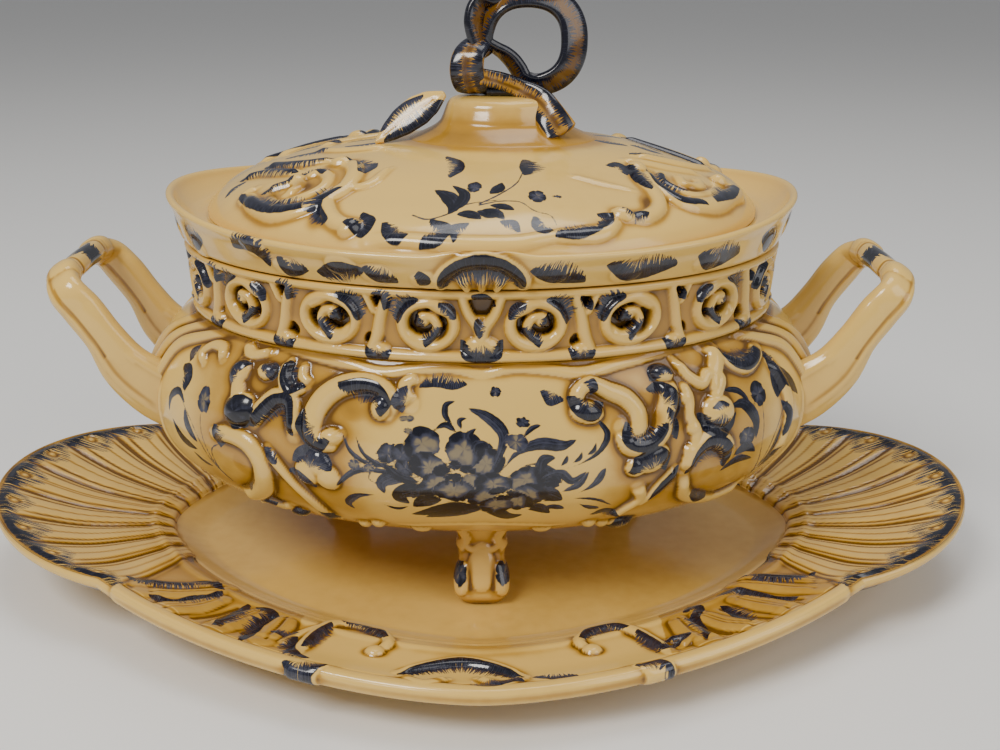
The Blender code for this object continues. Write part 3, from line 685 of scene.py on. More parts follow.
@dataclass
class Bowl:
    """The belly, the neck inside the gallery, the flared rim and the plain inside."""

    half_length: float = 0.157
    half_width: float = 0.113
    belly_z: float = 0.090
    base_z: float = 0.0425
    neck_z: float = 0.1340
    spacing: float = 0.65
    sink: float = 1.2

    def profile(self) -> Array:
        """The belly's rings as (half length, half width, height), as the solid has them."""
        rise, fall = self.belly_z - self.base_z, 0.135 - self.belly_z
        low = [(0.57, 0.52, 0.0), (0.69, 0.64, 0.07), (0.83, 0.80, 0.25), (0.94, 0.93, 0.53), (0.99, 0.988, 0.80), (1.0, 1.0, 1.0)]
        high = [(0.995, 0.993, 0.25), (0.965, 0.965, 0.55), (0.915, 0.935, 0.82)]
        rings = [(self.half_length * a, self.half_width * b, self.base_z + rise * h) for a, b, h in low]
        rings += [(self.half_length * a, self.half_width * b, self.belly_z + fall * h) for a, b, h in high]
        return np.array(rings + [(0.1341, 0.1021, self.neck_z)])

    def outside(self, points: Array, depth: float = 0.0032) -> Array:
        """Points that would reach into the bowl, moved out sideways until they end within its wall.

        Args:
            points: points of a piece that is luted to the bowl's end.
            depth: how far into the wall they may reach.

        Returns:
            The points, scaled in plan by the wall's radius over their own where they lay within it.
        """
        a, b, z = self.profile().T
        wall_a, wall_b = np.interp(points[..., 2], z, a) - depth, np.interp(points[..., 2], z, b) - depth
        share = np.maximum(np.hypot(points[..., 0] / wall_a, points[..., 1] / wall_b), 1e-3)
        return points * np.stack([np.maximum(1.0, 1.0 / share)] * 2 + [np.ones(share.shape)], axis=-1)

    def below(self, points: Array, depth: float = 0.0030) -> Array:
        """Points that would reach up through the bowl's floor, brought down until they end within it."""
        a, b, z = self.profile()[:7].T
        spread = (a / a[0] + b / b[0]) / 2
        away = np.hypot(points[..., 0] / a[0], points[..., 1] / b[0])
        ceiling = np.interp(away, spread, z) + depth
        return np.concatenate([points[..., :2], np.minimum(points[..., 2], ceiling)[..., None]], axis=-1)

    def belly(self, shop: Workshop) -> None:
        """The belly in four panels: its profile turned round the oval, with the relief pressed in."""
        rings = self.profile()
        mean = np.stack([(rings[:, 0] + rings[:, 1]) / 2, rings[:, 2]], axis=1)
        run = run_of(mean)
        rows = int(run[-1] / MM / self.spacing) + 1
        t = np.linspace(0.0, run[-1], rows)
        a, b, z = spline(t, run, rings).T
        oval = Oval(self.half_length, self.half_width, 4 * int(213.5 / self.spacing))
        s, t = np.meshgrid(oval.s, t / MM)
        chart = Chart(s, t)
        self.carve(chart)
        self.decorate(chart)
        ground = 0.38 * ease(40, 58, np.abs(s)) * (1 - ease(0.3, 2.0, chart.height)) * (1 - ease(125, 150, np.abs(s))) * ease(45, 60, t)
        # Amber ground on the belly's sides, and deep umber along its top few mm, under the gallery's lower rail.
        chart.pool = np.maximum(chart.pool, np.maximum(ground, 0.95 * ease(128.5, 131, t)))
        points, normals, layers = Glazed(oval.ring(a, b, z), chart, (self.spacing, self.spacing)).pressed(base=-self.sink)
        quarter = oval.count // 4
        for index, label in enumerate(("left", "front", "right", "back")):
            columns = (np.arange(quarter + 1) + quarter // 2 + index * quarter) % oval.count
            part = {name: values[:, columns] for name, values in layers.items()}
            piece = add_grid(f"belly_{label}", points[:, columns], part, closed=False, normals=normals[:, columns])
            shop.finish(piece, Body.TUREEN, ("bowl",))
        self.floor(shop, points[0], points[-1])

    def carve(self, chart: Chart) -> None:
        """The belly's relief: scrolls, shells, knobs, acanthus and the ribs that spring to the handles."""
        for side in Side:
            m = side.value
            for line in (
                [(178, 92), (172, 106), (165, 118), (150, 127), (136, 133)],
                [(188, 90), (184, 104), (176, 118), (164, 128), (152, 134)],
                [(199, 88), (196, 102), (189, 116), (178, 128), (168, 135)],
            ):
                chart.rib([(m * x, y) for x, y in line], (2.4, 3.6, 2.8), 2.6)
            chart.rib([(m * x, y) for x, y in [(170, 98), (170, 84), (166, 70), (158, 58)]], 1.5, 0.8)
        # The upper band: a wavy moulding under the gallery, dipping to the scrolls' heads.
        for side in Side:
            m = side.value
            chart.rib([(m * x, y) for x, y in [(0, 127), (14, 130), (30, 129), (46, 126), (62, 129), (80, 131), (100, 133)]], (2.4, 3.4, 2.4), 1.7)
        # Left: the great C-scroll with its shell crest.
        chart.rib([(-39, 108), (-37, 114), (-42, 119), (-50, 121), (-60, 119), (-68, 112), (-71, 103), (-69, 96), (-63, 94), (-59, 98)], (3.0, 4.2, 5.4, 5.6, 5.2, 3.4), 4.2)
        chart.knob((-42, 111), (4.5, 5.5), 4.6)
        chart.knob((-62, 97), (5.2, 3.8), 4.4)
        chart.stain((-55, 108), (8, 6), 0.75)
        chart.rib([(-30, 113), (-33, 117), (-33, 122), (-28, 125)], (4.0, 3.0), 2.4)
        # Left: the hook, the little volute and the knobbed stalk.
        chart.rib([(-91, 127), (-89, 118), (-84, 113), (-77, 116)], (2.2, 3.4, 2.4), 3.2)
        chart.rib([(-83, 126), (-80, 120), (-76, 118)], (2.0, 2.6, 1.8), 2.0)
        chart.knob((-107, 102), (9.0, 7.6), 4.8, 20)
        chart.knob((-113, 117), (5.6, 6.2), 4.0)
        chart.rib([(-114, 123), (-111, 111), (-108, 104)], (4.4, 3.8, 5.0), 3.4)
        chart.rib([(-101, 97), (-95, 105), (-90, 110), (-83, 110), (-80, 103), (-79, 95)], (4.6, 4.8, 4.2, 3.6), 3.6)
        chart.knob((-99, 120), (5.4, 4.0), 3.4, -10)
        chart.rib([(-138, 116), (-142, 120), (-139, 125), (-132, 125), (-127, 120)], (2.0, 2.8, 2.4), 2.2)
        chart.rib([(-120, 131), (-112, 126), (-104, 129)], 3.0, 2.4)
        # Left: the lower C with its oval hollow, and the long diagonal stalk.
        chart.rib([(-121, 88), (-111, 90), (-101, 88), (-95, 80), (-97, 69), (-106, 60), (-118, 55)], (3.4, 4.8, 5.2, 4.6, 3.4), 3.8)
        chart.stain((-108, 76), (6, 8), 0.7, 30)
        chart.rib([(-92, 87), (-84, 78), (-79, 71), (-74, 60), (-72, 46)], (3.0, 2.6, 3.2), 2.6)
        for centre in ((-68, 84), (-73, 80), (-64, 79)):
            chart.knob(centre, (5.8, 6.4), 2.9, 20)
        # Left: the acanthus tip low on the belly.
        chart.rib([(-112, 50), (-104, 55), (-97, 52), (-91, 54)], (2.4, 3.4, 2.2), 2.4)
        # Right: the C-scroll that runs down to its own shell.
        chart.rib([(40, 110), (41, 117), (47, 121), (55, 117), (62, 113), (66, 106), (65, 100), (60, 97)], (3.6, 3.4, 4.2, 4.6, 4.4, 3.6), 4.0)
        chart.knob((44, 109), (7.4, 5.0), 4.2, -8)
        chart.rib([(59, 101), (61, 94), (68, 93), (75, 97), (78, 104), (82, 112), (82, 120)], (4.6, 5.0, 4.6, 4.8, 5.2, 4.6), 4.0)
        chart.knob((82, 122), (5.6, 4.4), 4.4)
        chart.stain((72, 104), (5, 6), 0.8)
        chart.knob((71, 87), (8.4, 6.4), 4.0, 25)
        chart.knob((64, 84), (5.0, 4.6), 3.4)
        chart.rib([(83, 80), (79, 76), (73, 68), (68, 62)], (2.8, 3.4, 2.2), 2.4)
        chart.rib([(66, 74), (69, 67), (64, 60), (60, 54)], (3.2, 2.6, 2.4), 2.4)
        # Right: the knobby ridge on its amber ground, and the ball scroll.
        chart.rib([(89, 118), (91, 110), (90, 102), (92, 95), (90, 88), (86, 82)], (2.6, 3.4, 2.4, 3.4, 2.4, 2.0), 2.8)
        for centre in ((90, 110), (91, 97), (89, 87)):
            chart.knob(centre, (3.6, 3.8), 3.2)
        chart.rib([(92, 128), (94, 119), (100, 115), (104, 118), (110, 116), (105, 108), (104, 104)], (2.6, 3.4, 3.0, 3.8, 3.4), 3.4)
        chart.knob((105, 102), (8.6, 7.4), 4.6)
        chart.rib([(118, 130), (113, 123), (107, 116), (105, 109)], (3.8, 4.2, 3.4), 3.4)
        chart.rib([(112, 131), (119, 122), (127, 118), (137, 120), (144, 124)], (3.4, 4.6, 3.6), 2.8)
        chart.rib([(87, 78), (90, 86), (98, 91), (106, 88), (110, 82)], (3.4, 5.4, 4.4), 3.4)
        chart.rib([(87, 76), (92, 64), (102, 57), (118, 52), (132, 58)], (2.8, 3.8, 2.8), 2.6)
        chart.stain((100, 74), (9, 6), 0.55, 20)
        chart.rib([(146, 116), (150, 106), (152, 96), (150, 84), (146, 72)], (3.0, 4.4, 3.0), 2.4)
        # Pearls and buds along the foot of the belly.
        for x, y in ((-58, 44), (-50, 47), (52, 47), (60, 44)):
            chart.knob((x, y), (3.6, 3.0), 2.4)
        chart.knob((70, 42), (8.0, 5.0), 3.4, -15)
        chart.knob((-92, 47), (6.0, 4.0), 2.8, 15)
        chart.rib([(-40, 45), (-20, 50), (0, 52), (20, 50), (40, 45)], 1.6, 0.7)
        for x in (-30, 30):
            chart.knob((x, 42), (5.0, 3.2), 1.8)

    def decorate(self, chart: Chart) -> None:
        """The belly's brushwork: the bouquet in the middle and the dabs on every crest."""
        self.bouquet(chart)
        feather, leaf, stem, petal = chart.feather, chart.leaf, chart.stem, chart.petal
        # On the left C-scroll and its neighbours.
        feather([(-41, 107), (-38, 113), (-42, 119), (-50, 122), (-62, 120)], 9.5, 0.02, 0.6, 0.8)
        feather([(-61, 96), (-66, 91), (-72, 92), (-77, 100), (-76, 108)], -8.0, 0.0, 0.5, 0.8)
        feather([(-33, 109), (-37, 113), (-36, 118), (-32, 121)], -7.0, 0.3, 0.5)
        feather([(-27, 120), (-19, 121), (-12, 120), (-6, 122)], 6.0, 0.15, 0.8)
        feather([(-91, 127), (-89, 118), (-84, 113), (-77, 116)], 6.5, 0.03, 0.5, 1.0)
        petal((-107, 101), (9.2, 7.8), 20, 0.0, 0.04)
        feather([(-116, 110), (-118, 116), (-114, 122), (-109, 122)], -9.0, 0.12, 0.55)
        feather([(-101, 96), (-96, 104), (-90, 110), (-83, 111), (-80, 104), (-79, 95)], -7.5, 0.02, 0.6, 1.4)
        feather([(-95, 116), (-93, 120), (-97, 124), (-102, 123)], 8.5, 0.25, 0.6)
        feather([(-148, 123), (-152, 119), (-149, 114)], 6.0, 0.25, 0.6)
        feather([(-153, 112), (-147, 113), (-143, 108), (-145, 101)], -9.0, 0.1, 0.65)
        feather([(-80, 84), (-78, 89), (-71, 92), (-64, 89), (-61, 83)], -9.0, 0.25, 0.45, 0.6)
        feather([(-82, 80), (-76, 81), (-71, 77), (-70, 72)], -5.0, 0.3, 0.5)
        feather([(-122, 92), (-121, 87), (-118, 82)], 9.5, 0.2, 0.7)
        feather([(-93, 88), (-90, 83), (-86, 82)], 4.5, 0.25, 0.5)
        feather([(-76, 60), (-71, 55), (-69, 47)], -6.0, 0.15, 0.5)
        feather([(-96, 48), (-90, 51), (-85, 48)], -5.0, 0.2, 0.5)
        feather([(-110, 56), (-103, 57), (-98, 55)], -4.0, 0.3, 0.5)
        petal((-106, 65), (3.0, 1.4), 30, 0.2, 0.3)
        # The sprig on the left cheek.
        stem([(-121, 62), (-126, 74), (-130, 86), (-131, 94)])
        petal((-130, 101), (4.3, 6.8), 8, 0.3, 0.75)
        stem([(-121, 62), (-130, 78), (-138, 90), (-146, 97)])
        leaf([(-143, 96), (-150, 100), (-156, 96), (-157, 88)], 2.0, 0.15)
        leaf([(-134, 80), (-140, 86), (-143, 94)], 2.4, 0.3)
        leaf([(-135, 76), (-147, 79), (-154, 86)], 2.4, 0.12)
        stem([(-124, 70), (-124, 80), (-118, 84)])
        leaf([(-140, 74), (-134, 70), (-128, 69)], 1.4, 0.2)
        # On the right scrolls.
        feather([(36, 116), (39, 109), (46, 106), (52, 112)], 8.5, 0.02, 0.55, 1.0)
        feather([(49, 123), (49, 118), (47, 116)], -7.5, 0.2, 0.8)
        feather([(25, 119), (28, 113), (35, 114)], 5.5, 0.2, 0.6)
        petal((6, 119), (2.8, 2.6), 0, 0.1, 0.4)
        feather([(75, 119), (77, 125), (84, 126), (87, 121)], -6.5, 0.12, 0.4)
        feather([(72, 116), (78, 118), (84, 114), (86, 107), (83, 102)], -6.5, 0.0, 0.5, 1.0)
        feather([(60, 104), (58, 96), (64, 92), (72, 94), (79, 101)], 6.5, 0.0, 0.5, 1.0)
        feather([(79, 108), (84, 100), (83, 93)], -5.0, 0.05, 0.6)
        feather([(60, 82), (64, 89), (72, 92), (79, 87), (78, 80)], -9.0, 0.03, 0.6, 0.8)
        leaf([(84, 82), (80, 76), (72, 66)], 3.0, 0.05)
        feather([(94, 103), (95, 96), (102, 92), (111, 93), (115, 99)], 8.0, 0.0, 0.5, 0.8)
        feather([(100, 104), (105, 106), (109, 104)], -3.0, 0.15, 0.6)
        feather([(116, 128), (119, 120), (126, 116), (137, 118), (143, 123)], 9.0, 0.03, 0.6, 0.6)
        feather([(144, 121), (146, 109), (153, 108)], 7.0, 0.03, 0.6)
        leaf([(144, 99), (148, 108), (156, 104), (164, 95)], 4.8, 0.05, 0.4)
        leaf([(146, 98), (150, 90), (146, 80)], 2.2, 0.1)
        feather([(87, 77), (90, 86), (98, 92), (106, 90), (111, 82), (109, 75)], -10.0, 0.08, 0.7, 0.6)
        feather([(94, 64), (101, 58), (109, 57)], 5.0, 0.1, 0.6)
        feather([(62, 41), (68, 48), (76, 47), (79, 41)], -6.0, 0.05, 0.5)
        feather([(49, 57), (54, 61), (61, 58), (65, 53)], -4.5, 0.08, 0.4)
        # The sprig on the right cheek.
        petal((131, 104), (5.2, 6.0), 0, 0.05, 0.4)
        stem([(136, 62), (132, 78), (132, 90), (132, 98)])
        stem([(136, 62), (139, 78), (144, 88), (149, 96)])
        petal((121, 87), (5.4, 5.0), 0, 0.02, 0.55)
        leaf([(112, 102), (120, 102), (126, 95), (127, 84)], 3.0, 0.06)
        leaf([(110, 110), (119, 108), (125, 101)], 1.6, 0.1)
        leaf([(113, 80), (121, 82), (128, 78)], 2.4, 0.06)
        leaf([(107, 73), (116, 77), (127, 75)], 2.0, 0.2)
        leaf([(138, 64), (146, 72), (154, 76)], 3.0, 0.12)
        leaf([(137, 66), (142, 76), (146, 86)], 1.6, 0.15)

    def bouquet(self, chart: Chart) -> None:
        """Two five-petalled flowers among leaves, blades, berries and small buds."""
        feather, leaf, stem, petal = chart.feather, chart.leaf, chart.stem, chart.petal
        for line in ([(-57, 99), (-54, 92), (-46, 87), (-38, 86)], [(-52, 99), (-48, 91), (-38, 86), (-27, 84)]):
            leaf(line, 1.1, 0.25)
        leaf([(-60, 76), (-52, 83), (-38, 84), (-25, 82)], 1.5, 0.3, 0.3)
        leaf([(-44, 72), (-53, 70), (-58, 64), (-56, 60)], 1.9, 0.4, 0.6)
        stem([(-36, 87), (-44, 85), (-46, 80), (-43, 78)])
        leaf([(-26, 80), (-34, 82), (-41, 78), (-40, 73)], 3.3, 0.4)
        for centre, radii in (((-52, 86), (2.9, 2.6)), ((-46, 85), (2.5, 2.1))):
            petal(centre, radii, 0, 0.45, 0.8)
        # Leaves behind and under the flowers.
        for line, wide, tone in (
            ([(-20, 74), (-27, 76), (-34, 72), (-30, 68)], 4.2, 0.1),
            ([(-16, 72), (-24, 70), (-29, 66)], 3.6, 0.04),
            ([(0, 68), (-12, 67), (-24, 62), (-31, 60)], 3.4, 0.04),
            ([(4, 69), (-6, 65), (-18, 61), (-25, 58)], 3.2, 0.08),
            ([(-2, 70), (6, 64), (12, 60), (18, 61)], 3.4, 0.03),
            ([(20, 76), (27, 80), (32, 78)], 3.4, 0.04),
            ([(18, 73), (27, 74), (34, 70)], 4.2, 0.08),
            ([(16, 68), (24, 66), (30, 61)], 3.0, 0.12),
            ([(26, 66), (31, 66), (36, 64)], 1.8, 0.3),
            ([(-4, 96), (0, 96), (3, 92)], 3.0, 0.03),
            ([(2, 84), (4, 92), (3, 98)], 2.4, 0.2),
            ([(12, 84), (20, 86), (28, 84), (33, 79)], 3.2, 0.06),
        ):
            leaf(line, wide, tone)
        leaf([(-31, 66), (-36, 64), (-42, 66)], 1.0, 0.05)
        # The half-open flower on the left.
        for centre, radii, turn in (((-38, 92), (5.4, 4.6), 20), ((-32, 92), (4.6, 5.0), 60), ((-31, 86), (4.8, 3.6), -30)):
            petal(centre, radii, turn, 0.12, 0.45)
        leaf([(-40, 88), (-33, 82), (-25, 80)], 2.2, 0.05)
        # First flower.
        for centre, radii, turn in (
            ((-24, 97), (8.0, 7.4), 35),
            ((2, 89), (8.0, 6.6), 20),
            ((-7, 95), (8.0, 8.0), 0),
            ((-21, 87), (8.8, 6.4), -15),
            ((-19, 79), (8.4, 5.6), 25),
            ((-2, 79), (7.4, 6.0), -25),
            ((-11, 76), (8.6, 6.0), 0),
        ):
            petal(centre, radii, turn, 0.0, 0.95, (-11, 85))
        for centre, radii, turn in (((-15.5, 86), (4.4, 2.6), 20), ((-11, 83), (4.0, 2.2), 0), ((-6, 86.5), (4.0, 2.0), -15), ((-11, 88), (3.0, 2.2), 10)):
            petal(centre, radii, turn, 0.0, 0.02)
        for x, y in ((-14, 80), (-11, 79), (-8, 80)):
            stem([(x, y), (x, y + 3)], 0.5, 0.02)
        # Second flower.
        for centre, radii, turn in (
            ((18, 82), (8.6, 5.8), 20),
            ((5, 80), (8.0, 5.2), -5),
            ((20, 74), (7.6, 5.6), -10),
            ((0, 73), (7.0, 5.0), 10),
            ((15, 70), (7.4, 5.2), -25),
            ((6, 68), (7.6, 5.0), 5),
        ):
            petal(centre, radii, turn, 0.0, 0.95, (9, 75))
        for centre, radii, turn in (((7, 76.5), (4.0, 1.9), 10), ((13, 75), (3.4, 1.8), -20), ((9, 73), (4.2, 1.7), 0)):
            petal(centre, radii, turn, 0.0, 0.02)
        # Blades and the fine top growth.
        leaf([(3, 84), (7, 92), (9, 101), (3, 108), (-6, 112)], 2.6, 0.32, 0.6)
        leaf([(8, 86), (15, 94), (24, 97), (34, 96), (39, 98)], 2.8, 0.28, 0.65)
        petal((14, 98), (5.0, 4.2), -20, 0.4, 0.75)
        leaf([(30, 85), (41, 88), (49, 93), (52, 99), (48, 106)], 1.5, 0.12, 0.75)
        for line in ([(47, 96), (46, 93), (43, 91)], [(41, 93), (40, 90), (37, 88)], [(35, 92), (34, 89), (32, 87)]):
            leaf(line, 1.0, 0.1)
        leaf([(24, 84), (25, 90), (30, 91)], 2.4, 0.1)
        leaf([(24, 82), (32, 84), (37, 80), (43, 84)], 2.0, 0.3)
        leaf([(33, 75), (40, 78), (44, 84)], 1.6, 0.4)
        leaf([(39, 73), (47, 78), (51, 85)], 1.8, 0.35, 0.7)
        leaf([(38, 71), (48, 69), (58, 63)], 0.9, 0.3)
        leaf([(40, 68), (46, 64), (52, 62)], 1.5, 0.35, 0.7)
        for line, wide in (
            ([(-12, 105), (-15, 109), (-15, 113), (-11, 115)], 1.5),
            ([(-10, 102), (-15, 105), (-19, 103)], 1.4),
            ([(-8, 103), (-9, 107), (-6, 108)], 1.1),
            ([(-3, 97), (-5, 101), (-2, 104)], 1.2),
            ([(-3, 93), (-2, 97), (2, 98)], 1.7),
            ([(17, 100), (20, 103), (25, 105)], 1.2),
        ):
            leaf(line, wide, 0.15)
        petal((17, 106), (3.2, 2.4), -20, 0.1, 0.35)
        for centre, radii in (((-31, 107), (3.4, 1.6)), ((-30, 102), (2.0, 1.4))):
            petal(centre, radii, 0, 0.6, 0.95)

    def floor(self, shop: Workshop, low: Array, high: Array) -> None:
        """Closes the bowl: the base under the belly, then the neck, rim and inside as one profile down to a pole."""
        base = np.stack([low * [k, k, 1] + [0, 0, -0.0012 * (1 - k)] for k in (0.08, 0.3, 0.6, 0.85, 1.0)])
        shop.finish(add_grid("bowl_base", base, plain_layers(base.shape[:2], 0.25), poles=(True, False)), Body.TUREEN, ("bowl",))
        oval = Oval(self.half_length, self.half_width, len(low))
        neck = [(0.1330, 0.1010, 0.1352, 0.0), (0.1278, 0.0958, 0.1358, 0.0), (0.1276, 0.0956, 0.1490, 0.0), (0.1278, 0.0958, 0.1622, 0.0), (0.1316, 0.0996, 0.1640, 0.0)]
        rows = np.array(neck)
        a, b, z, lift = spline(np.linspace(0, 4, 15), np.arange(5.0), rows).T
        ring = oval.ring(a, b, z, lift)
        ring[0] = high
        shop.finish(add_grid("neck", ring, plain_layers(ring.shape[:2], 1.0)), Body.TUREEN, ("bowl",))
        self.rim(shop)

    def rim(self, shop: Workshop) -> None:
        """The flared rim from under its roll, over the lip and down to the ledge, then the inside."""
        oval = Oval(0.1425, 0.1125, 1300)
        knots = np.array([
            (0.1316, 0.0996, 0.1638, 0.0), (0.1352, 0.1032, 0.1650, 0.0002), (0.1376, 0.1062, 0.1682, 0.0018), (0.1390, 0.1082, 0.1712, 0.0036),
            (0.1406, 0.1102, 0.1748, 0.0056), (0.1420, 0.1119, 0.1778, 0.0068), (0.1424, 0.1124, 0.1790, 0.0070), (0.1418, 0.1118, 0.1800, 0.0070),
            (0.1404, 0.1104, 0.1803, 0.0070), (0.1390, 0.1091, 0.1798, 0.0066), (0.1376, 0.1086, 0.1786, 0.0052), (0.1310, 0.1085, 0.1768, 0.0010),
            (0.1246, 0.1084, 0.1765, 0.0),
        ])  # fmt: skip
        run = run_of(np.stack([(knots[:, 0] + knots[:, 1]) / 2, knots[:, 2]], axis=1))
        rows = int(run[-1] / MM / 0.6)
        t = np.linspace(0, run[-1], rows)
        a, b, z, lift = spline(t, run, knots).T
        s, tt = np.meshgrid(oval.s, t / MM)
        chart = Chart(s, tt)
        arc = oval.arc
        # The shell crest in the middle: an arch over three short flutes.
        chart.rib([(-17, 4), (-17, 10), (-10, 16), (0, 18), (10, 16), (17, 10), (17, 4)], (2.2, 3.2, 3.4, 3.2, 2.2), 2.0)
        for x in (-8, 0, 8):
            chart.rib([(x * 0.7, 3), (x, 11)], (1.2, 2.4), 1.6)
        chart.stain((0, 7), (10, 4), 0.5)
        chart.feather([(-17, 5), (-16, 12), (-9, 17), (0, 18.5), (9, 17), (16, 12), (17, 5)], -9.0, 0.0, 0.6, 1.8)
        for first, second, third, deep in (
            ((-46, 14), (-40, 15), (-38, 8), 5.0), ((-35.5, 14), (-34, 7), (-29.5, 9), 5.0), ((-28, 9), (-23, 15), (-19, 13), -6.5),
            ((-19.3, 14), (-17, 9), (-13.5, 7), 4.0), ((-10, 14), (-8.6, 10), (-10, 7), -4.5), ((7.5, 14), (11, 10), (17, 7), 5.5),
            ((20, 15), (24, 8), (34, 11), 6.5), ((38, 14), (41, 8), (50, 10), 6.5), ((57, 14), (61, 8), (66, 10), 5.5),
            ((-57, 12), (-61, 8), (-66, 12), -5.0), ((74, 14), (78, 9), (82, 12), 5.0), ((-74, 14), (-78, 9), (-82, 12), -5.0),
        ):  # fmt: skip
            chart.feather([(arc(d), h) for d, h in (first, second, third)], 1.5 * deep, 0.03, 0.7, 1.6)
            middle = (arc(second[0]), second[1] + (2 if deep > 0 else -1))
            chart.knob(middle, (7.0, 5.0), 0.9)
        chart.height += 0.5 * np.cos(np.clip(s / 20, -math.pi, math.pi)) * ease(2, 10, tt) * (1 - ease(15, 20, tt))
        points, _, layers = Glazed(oval.ring(a, b, z, lift), chart, (0.6, oval.around / oval.count)).pressed(base=-0.1)
        crest = 2.2 * MM * np.exp(-((oval.s / 17) ** 4)) * (np.abs(oval.angle) < 1.5)
        points[:, :, 2] += crest[None] * ease(8, 18, t / MM)[:, None] * (1 - ease(22, 26, t / MM))[:, None]
        shop.finish(add_grid("rim", points, layers), Body.TUREEN, ("bowl",))
        inside = np.array([
            (0.1246, 0.1084, 0.1765, 0), (0.1168, 0.0909, 0.1764, 0), (0.1164, 0.0906, 0.1740, 0), (0.1168, 0.0907, 0.1717, 0), (0.1226, 0.0906, 0.1600, 0),
            (0.1240, 0.0925, 0.1380, 0), (0.1461, 0.1040, 0.1134, 0), (0.1520, 0.1080, 0.0900, 0), (0.1423, 0.1001, 0.0681, 0), (0.1248, 0.0844, 0.0558, 0),
            (0.0913, 0.0584, 0.0475, 0), (0.0500, 0.0320, 0.0473, 0), (0.0100, 0.0064, 0.0473, 0),
        ])  # fmt: skip
        a, b, z, lift = spline(np.linspace(0, 12, 60), np.arange(13.0), inside).T
        oval = Oval(0.1246, 0.1084, 300)
        bowl = oval.ring(a, b, z, lift)
        shop.finish(add_grid("bowl_inside", bowl, plain_layers(bowl.shape[:2], 0.05), poles=(False, True)), Body.TUREEN, ("bowl",))


